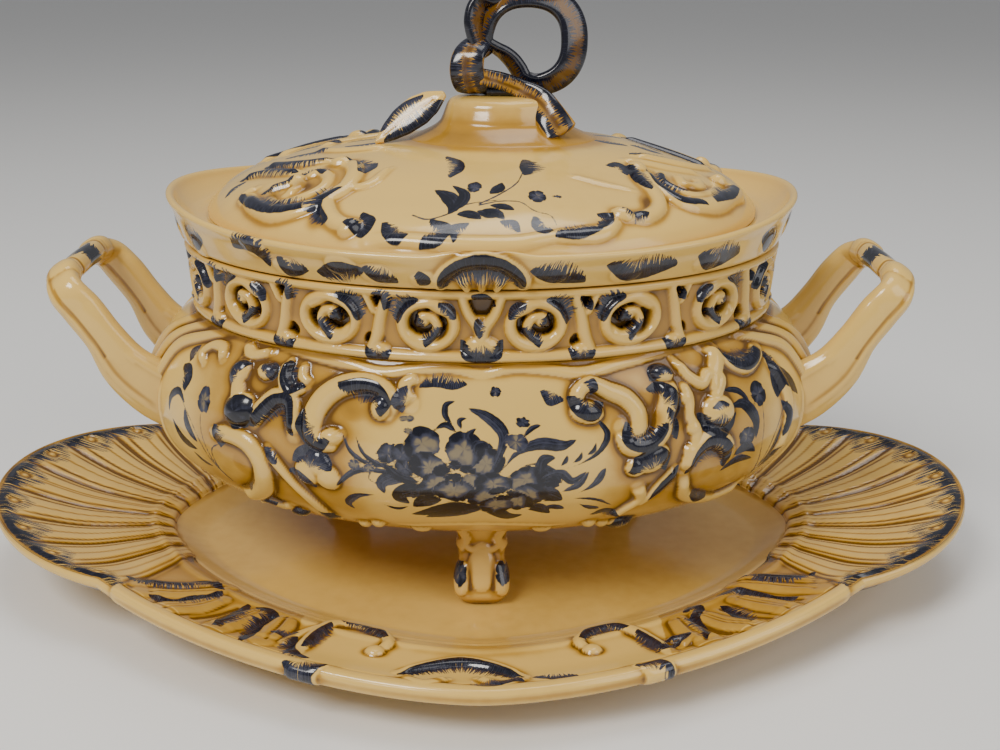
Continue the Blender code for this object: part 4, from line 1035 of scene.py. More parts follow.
@dataclass
class Gallery:
    """The openwork band: two rails with oval rings, commas and bars between them, and real openings."""

    half_length: float = 0.1278
    half_width: float = 0.0958
    low_z: float = 0.1345
    high_z: float = 0.1640
    thickness: float = 5.4
    centres: tuple[float, ...] = (-189.0, -146.0, -104.0, -62.0, -21.0, 21.5, 61.0, 104.0, 146.0, 189.0)

    def build(self, shop: Workshop) -> None:
        """Presses the tracery into a band round the neck and leaves out the faces between its bars."""
        oval = Oval(self.half_length + 0.0028, self.half_width + 0.0028, 1320)
        rows = 54
        t = np.linspace(0.0, (self.high_z - self.low_z) / MM, rows)
        s, tt = np.meshgrid(oval.s, t)
        chart = Chart(s, tt)
        self.trace(chart, t[-1])
        along, down = oval.around / oval.count, t[1]
        height = soften(chart.height, 0.3 / down, 0.3 / along, True)
        keep = height > 0.20 * self.thickness
        z = self.low_z + t * MM
        row = np.ones(rows)
        flare = (0.0008 + 0.0022 * (t / t[-1]) ** 2) * 1.0
        inner = oval.ring(self.half_length * row + 0.0002, self.half_width * row + 0.0002, z)
        normal = grid_normals(inner, True)
        outer = inner + normal * (height * MM + flare[:, None])[..., None]
        wide = soften(height, 2.2 / down, 2.2 / along, True)
        pool = np.clip(np.maximum(chart.pool, np.clip(wide - height, 0, None) * 0.45 + 0.62 * (1 - ease(0.35, 0.80, height / self.thickness))), 0, 1.5)
        layers = Glazed(outer, chart, (down, along)).layers(pool)
        for label, start in (("left", 0), ("right", oval.count // 2)):
            columns = (np.arange(oval.count // 2 + 1) + start) % oval.count
            part = {name: values[:, columns] for name, values in layers.items()}
            band = pierced_band(f"gallery_{label}", outer[:, columns], inner[:, columns], keep[:, columns], part)
            shop.finish(band, Body.TUREEN, ("gallery",), Slot.AMBER)

    def trace(self, chart: Chart, top: float) -> None:
        """Draws the tracery on a thin plate: rails that wave round oval rings, openings beside each ring's comma, and bosses."""
        tall, mid = self.thickness, top / 2 + 0.3
        chart.height += 0.45 * tall
        for index, centre in enumerate(self.centres):
            flip = 1 if index % 2 else -1
            wide = 9.6 if abs(centre) < 60 else 10.6
            for x, y, a, b, turn in ((-0.2, 0.2, wide - 2.6, 6.6, 0),):
                chart.cut((centre + x, mid + y), (a, b), turn)
            nxt = self.centres[(index + 1) % len(self.centres)]
            gap = (centre + nxt) / 2 if nxt > centre else centre + 20
            chart.cut((gap, top - 7.0), (5.2, 3.4), 0)
            chart.cut((gap - 1.5 * flip, 8.0), (4.2, 2.8), 20 * flip)
        for level, wide in ((1.6, 3.0), (top - 1.4, 2.6)):
            rise = tall * 0.96 * np.clip(1 - ((chart.t - level) / wide) ** 2, 0, None) ** 0.45
            chart.height = np.maximum(chart.height, rise)
        for index, centre in enumerate(self.centres):
            flip = 1 if index % 2 else -1
            wide, half = (10.4, 9.2) if abs(centre) < 60 else (11.4, 9.2)
            turn = np.linspace(-0.6, 2 * math.pi - 0.6, 25)
            chart.rib([(centre + wide * math.cos(a), mid + half * math.sin(a)) for a in turn], (2.4, 3.3, 2.6, 3.5, 2.4), tall, 1.0)
            curl = [(centre + flip * x, mid + y) for x, y in [(9.5, -3.5), (5.5, -6.5), (-1, -5.5), (-3.6, -1), (-1.5, 3), (2.6, 3.4), (4.0, 0.2)]]
            chart.rib(curl, (3.2, 2.8, 2.6, 2.2), tall * 0.96, 0.8)
            chart.knob((centre + flip * 2.2, mid + 1.4), (3.4, 3.0), tall * 1.04)
            chart.rib([(centre - flip * 9, mid + 4), (centre - flip * 4.5, mid + 6.6), (centre + flip * 1, mid + 9)], (2.4, 2.8, 1.8), tall * 0.92, 0.7)
            feather = chart.feather
            feather([(centre + flip * 5.4, mid + 5), (centre + flip * 6, mid + 1), (centre + flip * 2.6, mid - 2.4)], -6.5 * flip, 0.06, 0.6, 0.6)
            feather([(centre + wide * 0.3 * flip, mid + 10.4), (centre + flip * (wide - 2), mid + 7), (centre + flip * (wide + 1.4), mid)], 5.5 * flip, 0.08, 0.6, 0.8)
            feather([(centre - flip * 7, mid - 2), (centre - flip * 3, mid - 5), (centre + flip * 1, mid - 9)], 5.0 * flip, 0.10, 0.7, 0.7)
            if index % 3:
                feather([(centre - flip * (wide + 1), mid + 3), (centre - flip * (wide - 1), mid + 8), (centre - flip * (wide - 6), mid + 10)], -4.4 * flip, 0.15, 0.6, 0.6)
        for gap in (-168.0, -125.0, -83.0, -41.0, 40.5, 82.0, 125.0, 168.0):
            sign = 1 if gap > 0 else -1
            chart.rib([(gap - 5 * sign, top), (gap - 1 * sign, top * 0.60), (gap + 1 * sign, top * 0.30), (gap + 5 * sign, 1)], (2.4, 3.0, 3.4, 2.4), tall * 0.95, 0.9)
            chart.rib([(gap + 6 * sign, top), (gap + 2 * sign, top * 0.66)], (2.2, 2.0), tall * 0.86, 0.9)
            chart.knob((gap - 0.5 * sign, 3.4), (5.0, 3.8), tall * 1.08)
            chart.feather([(gap - 6, 4.4), (gap - 4, 0.4), (gap + 3, 0.2), (gap + 5.4, 3.6)], 5.4, 0.1, 0.6, 0.8)
            chart.feather([(gap - 2, top - 2.4), (gap + 2.4, top - 5), (gap + 3, top - 9)], -4.4 * sign, 0.1, 0.6, 0.6)
        # The palmette in the middle.
        for x in (-1, 1):
            chart.cut((x * 4.6, top - 6.6), (2.6, 2.6))
        chart.rib([(-8.5, top), (-5, top * 0.66), (-1, top * 0.44), (0, 4)], (2.2, 2.6, 3.4), tall * 0.95, 0.9)
        chart.rib([(8.5, top), (5, top * 0.66), (1, top * 0.44), (0, 4)], (2.2, 2.6, 3.4), tall * 0.95, 0.9)
        chart.knob((0, 5.5), (8.6, 6.2), tall * 1.10)
        chart.feather([(-8.5, 9), (-7, 2.5), (0, 0.6), (7, 2.5), (8.5, 9)], 6.0, 0.0, 0.6, 0.9)
        chart.feather([(-4, top - 1), (2, top - 1.6), (5.5, top - 6)], -6.0, 0.03, 0.6, 0.8)
        chart.feather([(-2.4, top * 0.62), (-2.6, top * 0.46), (-1, top * 0.34)], 4.0, 0.05, 0.5, 0.6)


def pierced_band(name: str, outer: Array, inner: Array, keep: Array, layers: dict[str, Array]) -> bpy.types.Object:
    """A band with openings: outer and inner faces where every corner is kept, and a wall round each opening.

    Args:
        name: the piece's name.
        outer: the outer grid, whose first and last columns meet its neighbour's.
        inner: the inner grid.
        keep: which grid places hold material.
        layers: the outer grid's layers, which the inner one takes too.

    Returns:
        The new object.
    """
    rows, columns = keep.shape
    cell = keep[:-1, :-1] & keep[1:, :-1] & keep[:-1, 1:] & keep[1:, 1:]
    faces = grid_faces(rows, columns, False)[cell.ravel()]
    shift = rows * columns
    edges = np.concatenate([faces[:, [0, 1]], faces[:, [1, 2]], faces[:, [2, 3]], faces[:, [3, 0]]]).astype(np.int64)
    key = edges[:, 0] * shift + edges[:, 1]
    lone = edges[~np.isin(key, edges[:, 1] * shift + edges[:, 0])]
    lone = lone[(lone[:, 0] % columns != lone[:, 1] % columns) | ((lone[:, 0] % columns > 0) & (lone[:, 0] % columns < columns - 1))]
    wall = np.stack([lone[:, 1], lone[:, 0], lone[:, 0] + shift, lone[:, 1] + shift], axis=1)
    everything = np.concatenate([faces, faces[:, ::-1] + shift, wall])
    used, index = np.unique(everything, return_inverse=True)
    points = np.concatenate([outer.reshape(-1, 3), inner.reshape(-1, 3)])[used]
    data = {label: np.tile(values.ravel(), 2)[used] for label, values in layers.items()}
    deep = used >= shift
    data["pool"] = np.where(deep, 1.3, data["pool"])
    data["ink"] = np.where(deep, NO_INK, data["ink"])
    return add_mesh(name, points, index.reshape(everything.shape), data)


@dataclass
class Sweep:
    """A strap: stations of (x, y, z, broad direction, half breadth, half thickness) joined by smooth curves.

    Each ring is centre + across u + normal v, where across is the broad direction squared to the run, normal is the
    run's direction times across, and (u, v) runs round a rounded rectangle.
    """

    name: str
    centres: Array
    broad: Array
    breadth: Array
    thickness: Array
    power: float = 2.6
    closed: bool = False
    rows: int = 160
    columns: int = 44
    # inside: painted shade, how much darker the strap's inner face (the half below its middle plane) is coloured.
    inside: float = 0.0

    def grid(self) -> tuple[Array, Chart]:
        """The strap's points, and a chart with s across its broad face and t along it, both in mm."""
        held = np.column_stack([self.centres, self.broad, self.breadth, self.thickness])
        if self.closed:
            held = np.concatenate([held[-3:], held, held[:4]])
        run = run_of(held[:, :3])
        low, high = (run[3], run[-4]) if self.closed else (0.0, run[-1])
        at = np.linspace(low, high, self.rows + 1)[: self.rows] if self.closed else np.linspace(low, high, self.rows)
        read = spline(at, run, held)
        centre, broad, breadth, thick = read[:, :3], read[:, 3:6], read[:, 6:7], read[:, 7:8]
        along = (np.roll(centre, -1, 0) - np.roll(centre, 1, 0)) if self.closed else np.gradient(centre, axis=0)
        along /= np.linalg.norm(along, axis=1, keepdims=True)
        across = broad - (broad * along).sum(axis=1, keepdims=True) * along
        across /= np.linalg.norm(across, axis=1, keepdims=True)
        normal = np.cross(along, across)
        angle = np.linspace(0, 2 * math.pi, self.columns, endpoint=False)
        c, n = np.cos(angle), np.sin(angle)
        u = np.sign(c) * np.abs(c) ** (2 / self.power) * breadth
        v = np.sign(n) * np.abs(n) ** (2 / self.power) * thick
        points = centre[:, None] + across[:, None] * u[..., None] + normal[:, None] * v[..., None]
        chart = Chart(u / MM, np.repeat(((at - low) / MM)[:, None], self.columns, axis=1))
        # Painted shade: the strap's inner face is darkened through the pool layer, by inside.
        chart.pool += self.inside * (n < -0.05)[None]
        return points, chart

    def build(self, shop: Workshop, body: Body, nodes: tuple[str, ...], slot: Slot, points: Array, chart: Chart) -> None:
        """Presses the chart in, rounds the two ends off to poles or joins the first ring to the last, and finishes the piece."""
        along, round_mm = chart.t[1, 0], 2.6 * float(np.mean(self.breadth)) / MM / self.columns * 2
        moved, _, layers = Glazed(points, chart, (along, round_mm)).pressed(smooth=0.25)
        if self.closed:
            moved = np.concatenate([moved, moved[:1]])
            layers = {name: np.concatenate([values, values[:1]]) for name, values in layers.items()}
            shop.finish(add_grid(self.name, moved, layers), body, nodes, slot)
            return
        for first in (True, False):
            ring, beside = (moved[0], moved[1]) if first else (moved[-1], moved[-2])
            middle = ring.mean(axis=0)
            step = middle - beside.mean(axis=0)
            step *= float(self.thickness[0 if first else -1]) * 0.7 / np.linalg.norm(step)
            caps = [middle + (ring - middle) * math.cos(a) + step * math.sin(a) for a in (0.5, 0.95, 1.3)]
            moved = np.concatenate([caps[::-1], moved]) if first else np.concatenate([moved, caps])
            layers = {
                name: np.concatenate([values[:1]] * 3 + [values]) if first else np.concatenate([values] + [values[-1:]] * 3)
                for name, values in layers.items()
            }
        shop.finish(add_grid(self.name, moved, layers, poles=(True, True)), body, nodes, slot)


@dataclass
class Foot:
    """A moulded foot: a blue shell cap over a bulge between two small scrolls."""

    name: str
    place: Point
    sole_z: float = 0.0123
    top_z: float = 0.0565
    half_width: float = 0.0125

    def build(self, shop: Workshop) -> None:
        """Stacks rounded sections whose middle leans outward, and presses the foot's relief into the outer side."""
        shape = np.array([
            (0.0040, 0.0, 0.80, 0.0068), (0.0055, 0.10, 1.0, 0.0084), (0.0030, 0.34, 0.86, 0.0070),
            (0.0, 0.60, 0.86, 0.0070), (0.0020, 1.0, 1.15, 0.0095),
        ])  # fmt: skip
        share = np.linspace(0.0, 1.0, 90)
        out, wide, thick = spline(share, shape[:, 1], shape[:, [0, 2, 3]]).T
        angle = np.linspace(-math.pi, math.pi, 90, endpoint=False)
        c, n = np.cos(angle), np.sin(angle)
        u = np.sign(n) * np.abs(n) ** 0.75 * wide[:, None] * self.half_width
        v = np.sign(c) * np.abs(c) ** 0.75 * thick[:, None] + out[:, None]
        z = np.repeat((self.sole_z + (self.top_z - self.sole_z) * share)[:, None], len(angle), axis=1)
        away = np.array(self.place) / np.hypot(*self.place)
        x = self.place[0] + away[0] * v - away[1] * u
        y = self.place[1] + away[1] * v + away[0] * u
        outer = np.where(c > -0.2, 1.0, 0.0)[None]
        chart = Chart(u / MM * outer + 60 * (1 - outer), (z - self.sole_z) / MM)
        chart.knob((0, 17), (6.4, 9.5), 2.2)
        for side in Side:
            m = side.value
            chart.knob((m * 8.6, 12), (3.6, 7.5), 2.0, m * 12)
            chart.petal((m * 9.0, 14), (3.2, 5.6), m * 12, 0.1, 0.45)
            chart.rib([(m * 11, 24), (m * 7, 30), (m * 11, 36)], 2.2, 1.4)
            chart.stain((m * 5, 14), (1.4, 8), 0.8)
            chart.feather([(m * 11.5, 34), (m * 7, 37), (0, 38)], m * -7.0, 0.1, 0.5, 0.4)
        chart.rib([(-9, 28), (-4, 25), (0, 27), (4, 25), (9, 28)], 1.6, 1.2)
        # The foot's outer face is coloured deep umber along its sole, where it stands on the stand.
        chart.stain((0, 1), (11, 2), 1.1)
        points = np.stack([x, y, z], axis=2)
        moved, _, layers = Glazed(points, chart, (0.5, 0.75)).pressed(base=-0.3)
        moved = Bowl().below(moved)
        shop.finish(add_grid(f"{self.name}_glazed", moved, layers, poles=(True, True)), Body.TUREEN, (self.name,))


@dataclass
class Handle:
    """A strap handle: two fluted arms rising from the end of the bowl to a moulded crossbar."""

    side: Side
    root_x: float = 0.144
    root_z: float = 0.096
    reach: float = 0.1865
    top_z: float = 0.148
    gauge: float = 0.034

    def build(self, shop: Workshop) -> None:
        """Sweeps the strap up one arm, over the crossbar and down the other."""
        arm = np.array([
            (-0.17, -0.11, 0.97, 0.0135), (0.0, 0.0, 1.0, 0.0145), (0.37, 0.26, 1.03, 0.0121), (0.58, 0.54, 1.04, 0.00925), (0.78, 0.78, 1.03, 0.00925),
            (0.93, 0.93, 1.0, 0.0085), (1.0, 1.0, 0.80, 0.0075), (1.0, 1.03, 0.28, 0.00705),
        ])  # fmt: skip
        rows = np.concatenate([arm * [1, 1, -1, 1], arm[::-1]])
        m = self.side.value
        centres = np.column_stack([
            m * (self.root_x + (self.reach - self.root_x) * rows[:, 0]), self.gauge * rows[:, 2], self.root_z + (self.top_z - self.root_z) * rows[:, 1],
        ])  # fmt: skip
        broad = np.tile([m * 0.84, 0.0, -0.54], (len(rows), 1))
        name = f"handle_{self.side.name.lower()}"
        strap = Sweep(f"{name}_strap", centres, broad, rows[:, 3] - 0.0003, np.full(len(rows), 0.0052), rows=300, columns=56)
        points, chart = strap.grid()
        length = float(chart.t.max())
        middle = length / 2
        for sign in Side:
            def on_arm(*places: Point) -> Path:
                """Places (across, mm up the arm from its root), on this arm."""
                return [(s, middle + sign.value * (middle - up)) for s, up in places]

            chart.groove(on_arm((5.4, 8.0), (4.0, 26.0), (3.4, middle - 22)), 0.9, 0.5, 0.45)
            chart.rib(on_arm((8.0, 8.0), (6.0, 26.0), (5.4, middle - 22)), 1.4, 0.45)
            chart.rib(on_arm((-9.5, 12.0), (-8.6, 24.0), (-6.6, 36.0)), 1.5, 0.5)
            chart.knob(on_arm((0.0, middle - 24.0))[0], (9.0, 6.0), 1.0)
            chart.groove(on_arm((-9, middle - 16.5), (9, middle - 16.5)), 0.9, 0.45, 0.5)
            chart.feather(on_arm((-9, middle), (0, middle - 1), (9, middle)), sign.value * -15.0, 0.0, 0.75, 0.8)
        strap.build(shop, Body.TUREEN, (name,), Slot.CREAM, Bowl().outside(points), chart)


# --- The stand ----------------------------------------------------------------------------------------------------------


@dataclass
class Stand:
    """The dish: an oval well, a rim of acanthus and C-scrolls, and a ribbed fan at each end."""

    half_length: float = 0.236
    half_width: float = 0.166
    lobe_length: float = 0.222
    power: float = 1.65
    hub: float = 0.115
    spread: float = math.radians(64)
    taper: float = 0.145
    edge_z: float = 0.0240
    lift: float = 0.0190
    columns: int = 1400
    bundles: int = 9

    def __post_init__(self) -> None:
        """Spaces the columns by angle in plan, as the ovals' are."""
        self.angle = np.linspace(-math.pi, math.pi, self.columns, endpoint=False)

    def oval(self, a: float, b: float) -> Array:
        """The radius of a superellipse in plan: (|x/a|^p + |y/b|^p)^(-1/p)."""
        c, n = np.abs(np.sin(self.angle)), np.abs(np.cos(self.angle))
        return ((c / a) ** self.power + (n / b) ** self.power) ** (-1 / self.power)

    def outline(self) -> Array:
        """The edge: the greater of the lobed oval and an arc swept about each end's hub, a little shorter to its sides."""
        c, n = np.abs(np.sin(self.angle)), np.abs(np.cos(self.angle))
        lobe = self.oval(self.lobe_length, self.half_width)
        radius, turn = lobe, np.zeros(self.columns)
        for _ in range(12):
            swept = (self.half_length - self.hub) * (1 - self.taper * (turn / self.spread) ** 2)
            radius = self.hub * c + np.sqrt(np.clip(swept**2 - (self.hub * n) ** 2, 0, None))
            turn = np.arctan2(radius * n, radius * c - self.hub)
        return np.where(turn < self.spread, np.maximum(lobe, radius), lobe)

    def rows(self, knots: list[tuple[Array, float, float]], counts: list[int], rounded: bool = True) -> Array:
        """Points of rings between knots of (radius, height, share of the ends' lift)."""
        radius = np.stack([np.broadcast_to(k[0], self.angle.shape) for k in knots])
        x = radius * np.sin(self.angle)
        z = np.array([k[1] for k in knots])[:, None] + np.array([k[2] for k in knots])[:, None] * self.lift * np.abs(x / self.half_length) ** 2.2
        at = np.concatenate([np.linspace(i, i + 1, n, endpoint=False) for i, n in enumerate(counts)] + [[len(knots) - 1.0]])
        order = np.arange(len(knots), dtype=float)
        if rounded:
            radius, z = spline(at, order, radius), spline(at, order, z)
        else:
            radius = np.stack([np.interp(at, order, column) for column in radius.T], axis=1)
            z = np.stack([np.interp(at, order, column) for column in z.T], axis=1)
        return np.stack([radius * np.sin(self.angle), -radius * np.cos(self.angle), z], axis=2)

    def build(self, shop: Workshop) -> None:
        """The rim in four panels with its relief, then the well, and the underside with its foot ring."""
        edge, rim, thick = self.outline() - 0.0008, self.oval(0.158, 0.124), 0.0062
        top = self.rows(
            [
                (edge - 0.0060, self.edge_z - thick, 1), (edge - 0.0012, self.edge_z - thick * 0.86, 1), (edge, self.edge_z - thick * 0.45, 1),
                (edge - 0.0012, self.edge_z - thick * 0.08, 1), (edge - 0.0045, self.edge_z + 0.0002, 1),
                (rim + (edge - rim) * 0.5, self.edge_z - 0.0030, 0.62), (rim + 0.001, 0.0200, 0.12), (self.oval(0.152, 0.118), 0.0172, 0),
            ],
            [5, 5, 5, 6, 52, 52, 12],
        )  # fmt: skip
        chart = Chart(top[:, :, 0] / MM, -np.abs(top[:, :, 1]) / MM)
        self.carve(chart, (edge[None] - np.hypot(top[:, :, 0], top[:, :, 1])) / MM)
        self.decorate(chart)
        moved, normals, layers = Glazed(top, chart, (0.7, 0.72)).pressed(base=-0.6, gain=1.5)
        quarter = self.columns // 4
        for index, label in enumerate(("back_left", "front_left", "front_right", "back_right")):
            columns = (np.arange(quarter + 1) + index * quarter) % self.columns
            part = {name: values[:, columns] for name, values in layers.items()}
            piece = add_grid(f"stand_{label}", moved[:, columns], part, closed=False, normals=normals[:, columns])
            shop.finish(piece, Body.STAND, ("stand",))
        floor = self.oval(0.140, 0.106)
        well = self.rows([(self.oval(0.1525, 0.1185), 0.0172, 0), (floor, 0.0120, 0), (floor * 0.9, 0.0116, 0), (floor * 0.5, 0.0116, 0), (floor * 0.04, 0.0116, 0)], [8, 6, 6, 6])
        well[0] = moved[-1]
        # The well is coloured a little darker all over, as painted shade under the tureen.
        shop.finish(add_grid("stand_well", well[:, ::4], plain_layers(well[:, ::4].shape[:2], 0.16), poles=(False, True)), Body.STAND, ("stand",))
        under = 0.0065
        below = self.rows(
            [
                (self.oval(0.005, 0.004), under, 0), (self.oval(0.115, 0.079), under, 0), (self.oval(0.117, 0.081), 0.0004, 0), (self.oval(0.1205, 0.0845), 0.0, 0),
                (self.oval(0.124, 0.088), 0.0004, 0), (self.oval(0.126, 0.090), under, 0), (floor, 0.0075, 0), (rim, 0.0138, 0), (edge - 0.0060, self.edge_z - thick, 1),
            ],
            [10, 3, 2, 2, 3, 5, 6, 12], rounded=False,
        )[:, ::4]  # fmt: skip
        below[-1] = moved[0, ::4]
        shop.finish(add_grid("stand_underside", below, plain_layers(below.shape[:2], 0.2), poles=(True, False)), Body.STAND, ("stand",))

    def carve(self, chart: Chart, inset: Array) -> None:
        """The rim's relief: fans of bundled reeds, and between them lobes of acanthus and C-scrolls.

        Args:
            chart: the rim's chart, in plan.
            inset: each place's distance in from the edge, in mm.
        """
        hub = self.hub / MM
        away, side = np.abs(chart.s) - hub, np.abs(chart.t)
        turn, reach = np.arctan2(side, away), np.hypot(away, side)
        limit = math.radians(66)
        fan = (1 - ease(limit, limit + 0.03, turn)) * ease(34, 40, reach)
        phase = np.copysign(turn, chart.t + 1e-9) / (2 * limit) * self.bundles + 0.5
        share = phase - np.floor(phase) - 0.5
        number = np.floor(phase)
        body = ease(1.5, 6, inset) * fan
        chart.height += body * 1.9 * np.clip(1 - (1.9 * share) ** 2, 0, None) ** 0.5
        cut = np.zeros(share.shape)
        for place, wide, deep in ((0.5, 0.055, 1.0), (-0.5, 0.055, 1.0), (0.30, 0.030, 0.85), (-0.33, 0.032, 0.75), (-0.04, 0.026, 0.45)):
            cut = np.maximum(cut, deep * np.exp(-(((share - place) / wide) ** 2)))
        cut *= ease(36, 46, reach) * ease(6, 22, inset)
        chart.height -= body * 0.75 * cut
        chart.pool = np.maximum(chart.pool, body * (1.0 * cut + 0.10))
        # The fans' painted edge: hairs dragged in from every bundle's end, round a pale drop.
        deep = 12.0 + 9.0 * np.cos(math.pi * share) ** 2 + 2.5 * np.sin(2.1 * number)
        inked = np.where(fan > 0.5, np.minimum(inset - 2.6, deep - inset), NO_INK)
        drop = np.hypot(share * 26, (inset - 9.5) * 0.85) - 1.9
        inked = np.minimum(inked, drop)
        place = np.nonzero(inked > -4)
        strands = (turn * reach)[place]
        chart.lay(place, inked[place], strands, (0.62 * deep * ease(0.10, 0.90, inset / deep))[place], (0.02 + 0.50 * ease(0.3, 1.0, inset / deep))[place])
        chart.height -= 0.8 * np.exp(-((drop / 1.2) ** 2)) * fan
        # Outside the fans: a thick rounded edge with a fine line within it.
        plain = 1 - fan
        line = np.exp(-(((inset - 8.6) / 0.9) ** 2)) * plain * (turn > limit)
        chart.height += 1.1 * np.clip(1 - ((inset - 4.0) / 4.2) ** 2, 0, None) ** 0.5 * plain - 0.5 * line
        chart.pool = np.maximum(chart.pool, 0.8 * line)
        band = (inset > 10) * (turn > limit) * (np.abs(chart.s) > 76)
        chart.pool = np.maximum(chart.pool, 0.42 * band)
        ridge = np.exp(-(((np.abs((np.abs(chart.s) / 162) ** self.power + (np.abs(chart.t) / 128) ** self.power) ** (1 / self.power) - 1) / 0.018) ** 2))
        chart.height += 0.9 * ridge
        for m, lines in (
            (-1, ([(148, -84), (130, -82), (112, -74)], [(143, -92), (130, -86), (114, -80)], [(133, -108), (123, -100), (113, -89)], [(108, -117), (102, -108), (94, -99)], [(88, -124), (84, -112), (82, -103)])),
            (1, ([(148, -80), (130, -72), (115, -67)], [(146, -89), (127, -77), (113, -71)], [(130, -107), (124, -99), (111, -88)], [(113, -119), (102, -111), (93, -101)], [(92, -127), (87, -116), (83, -104)])),
        ):
            for index, points in enumerate(lines):
                placed = [(m * x, y) for x, y in points]
                chart.rib(placed, (6.8, 7.4, 5.0), 2.0, 0.5)
                for shift in (-1.5, 1.5):
                    chart.groove([(x, y + shift) for x, y in placed], 0.6, 0.5, 0.75)
                if index:
                    chart.groove([((a + c) / 2, (b + d) / 2) for (a, b), (c, d) in zip(placed, [(m * x, y) for x, y in lines[index - 1]])], 1.3, 0.9, 0.9)
        for points in (
            [(-74, -132), (-69, -117), (-60, -105), (-50, -106), (-41, -114), (-38, -123), (-43, -129)],
            [(76, -134), (70, -122), (62, -112), (52, -108), (43, -115), (40, -122), (45, -128)],
        ):
            chart.rib(points, (3.0, 3.6, 3.4, 2.6), 2.4)
            chart.rib([(x * 0.94 + (-3 if x < 0 else 3), y * 0.975) for x, y in points[1:-1]], 1.3, 1.4)
            chart.knob((points[-1][0], points[-1][1]), (4.2, 3.6), 2.6)
        for points in ([(-82, -128), (-75, -118), (-66, -109)], [(-33, -146), (-20, -139), (-8, -136), (4, -139), (17, -149)], [(76, -123), (87, -121), (80, -130)]):
            chart.rib(points, (2.2, 3.4, 2.2), 2.0)
        for x in (-67, 68):
            chart.rib([(x - 10, -146), (x, -150), (x + 9, -146)], (2.2, 3.4, 2.2), 1.6)
        for x in (-22, 8):
            chart.rib([(x - 9, -150), (x, -157), (x + 9, -151)], (2.0, 3.2, 2.0), 1.6)
        chart.stain((0, -126), (26, 8), 0.35)

    def decorate(self, chart: Chart) -> None:
        """The rim's brushwork."""
        feather, leaf = chart.feather, chart.leaf
        for points, depth, tone in (
            ([(-156, -80), (-146, -80), (-133, -76), (-125, -72), (-117, -74), (-113, -80)], -8.0, 0.1),
            ([(-142, -96), (-132, -95), (-125, -90), (-118, -86), (-114, -81)], -6.5, 0.12),
            ([(-111, -118), (-109, -108), (-105, -98), (-101, -91)], -8.0, 0.02),
            ([(-97, -129), (-92, -119), (-90, -108), (-86, -103), (-90, -96), (-97, -94)], 7.0, 0.04),
            ([(-87, -118), (-80, -121), (-75, -118)], 4.5, 0.2),
            ([(-75, -121), (-75, -131), (-68, -138)], -5.5, 0.05),
            ([(-78, -145), (-73, -151), (-66, -151), (-58, -146)], 5.5, 0.15),
            ([(115, -65), (123, -62), (130, -69), (140, -71), (150, -70)], -7.5, 0.1),
            ([(103, -83), (112, -77), (121, -82), (128, -88), (137, -93)], -7.0, 0.12),
            ([(103, -93), (107, -105), (112, -116)], 7.5, 0.03),
            ([(86, -99), (90, -92), (95, -93), (92, -106), (95, -118), (92, -127)], -6.5, 0.04),
            ([(74, -123), (86, -120), (80, -129), (70, -133)], -5.0, 0.1),
            ([(60, -148), (69, -143), (76, -148)], -5.5, 0.15),
            ([(-60, -104), (-50, -104), (-42, -112), (-38, -120)], -6.0, 0.08),
            ([(62, -112), (53, -107), (44, -113), (40, -121)], 6.0, 0.08),
            ([(-73, -129), (-69, -118), (-63, -108)], -5.0, 0.1),
            ([(75, -132), (70, -123), (65, -115)], 5.0, 0.1),
            ([(-33, -148), (-21, -140), (-8, -136), (4, -140), (17, -150)], -7.0, 0.06),
            ([(-8, -158), (4, -160), (17, -154)], 4.5, 0.2),
            ([(20, -150), (29, -152), (38, -150)], 4.0, 0.25),
            ([(-80, -91), (-84, -84), (-91, -80)], 5.0, 0.15),
            ([(66, -97), (74, -93), (84, -93)], 5.0, 0.15),
            ([(136, -36), (130, -44), (124, -52)], 5.5, 0.15),
        ):
            feather(points, depth, tone, 0.6, 0.6)
        for points, wide in (
            ([(-122, -57), (-115, -59), (-110, -66)], 1.8), ([(-107, -51), (-103, -58), (-101, -68)], 2.0), ([(-105, -73), (-111, -68), (-114, -62)], 1.6),
            ([(-64, -104), (-55, -97), (-46, -90)], 2.0), ([(-50, -92), (-43, -100), (-36, -109)], 1.8),
            ([(97, -43), (103, -40), (104, -54)], 1.8), ([(101, -58), (107, -50), (115, -41)], 2.0), ([(112, -46), (117, -42), (121, -37)], 1.4),
            ([(35, -90), (43, -93), (52, -93)], 1.8), ([(48, -95), (57, -102), (66, -111)], 2.0),
        ):  # fmt: skip
            leaf(points, wide, 0.12)


# --- The lid ------------------------------------------------------------------------------------------------------------


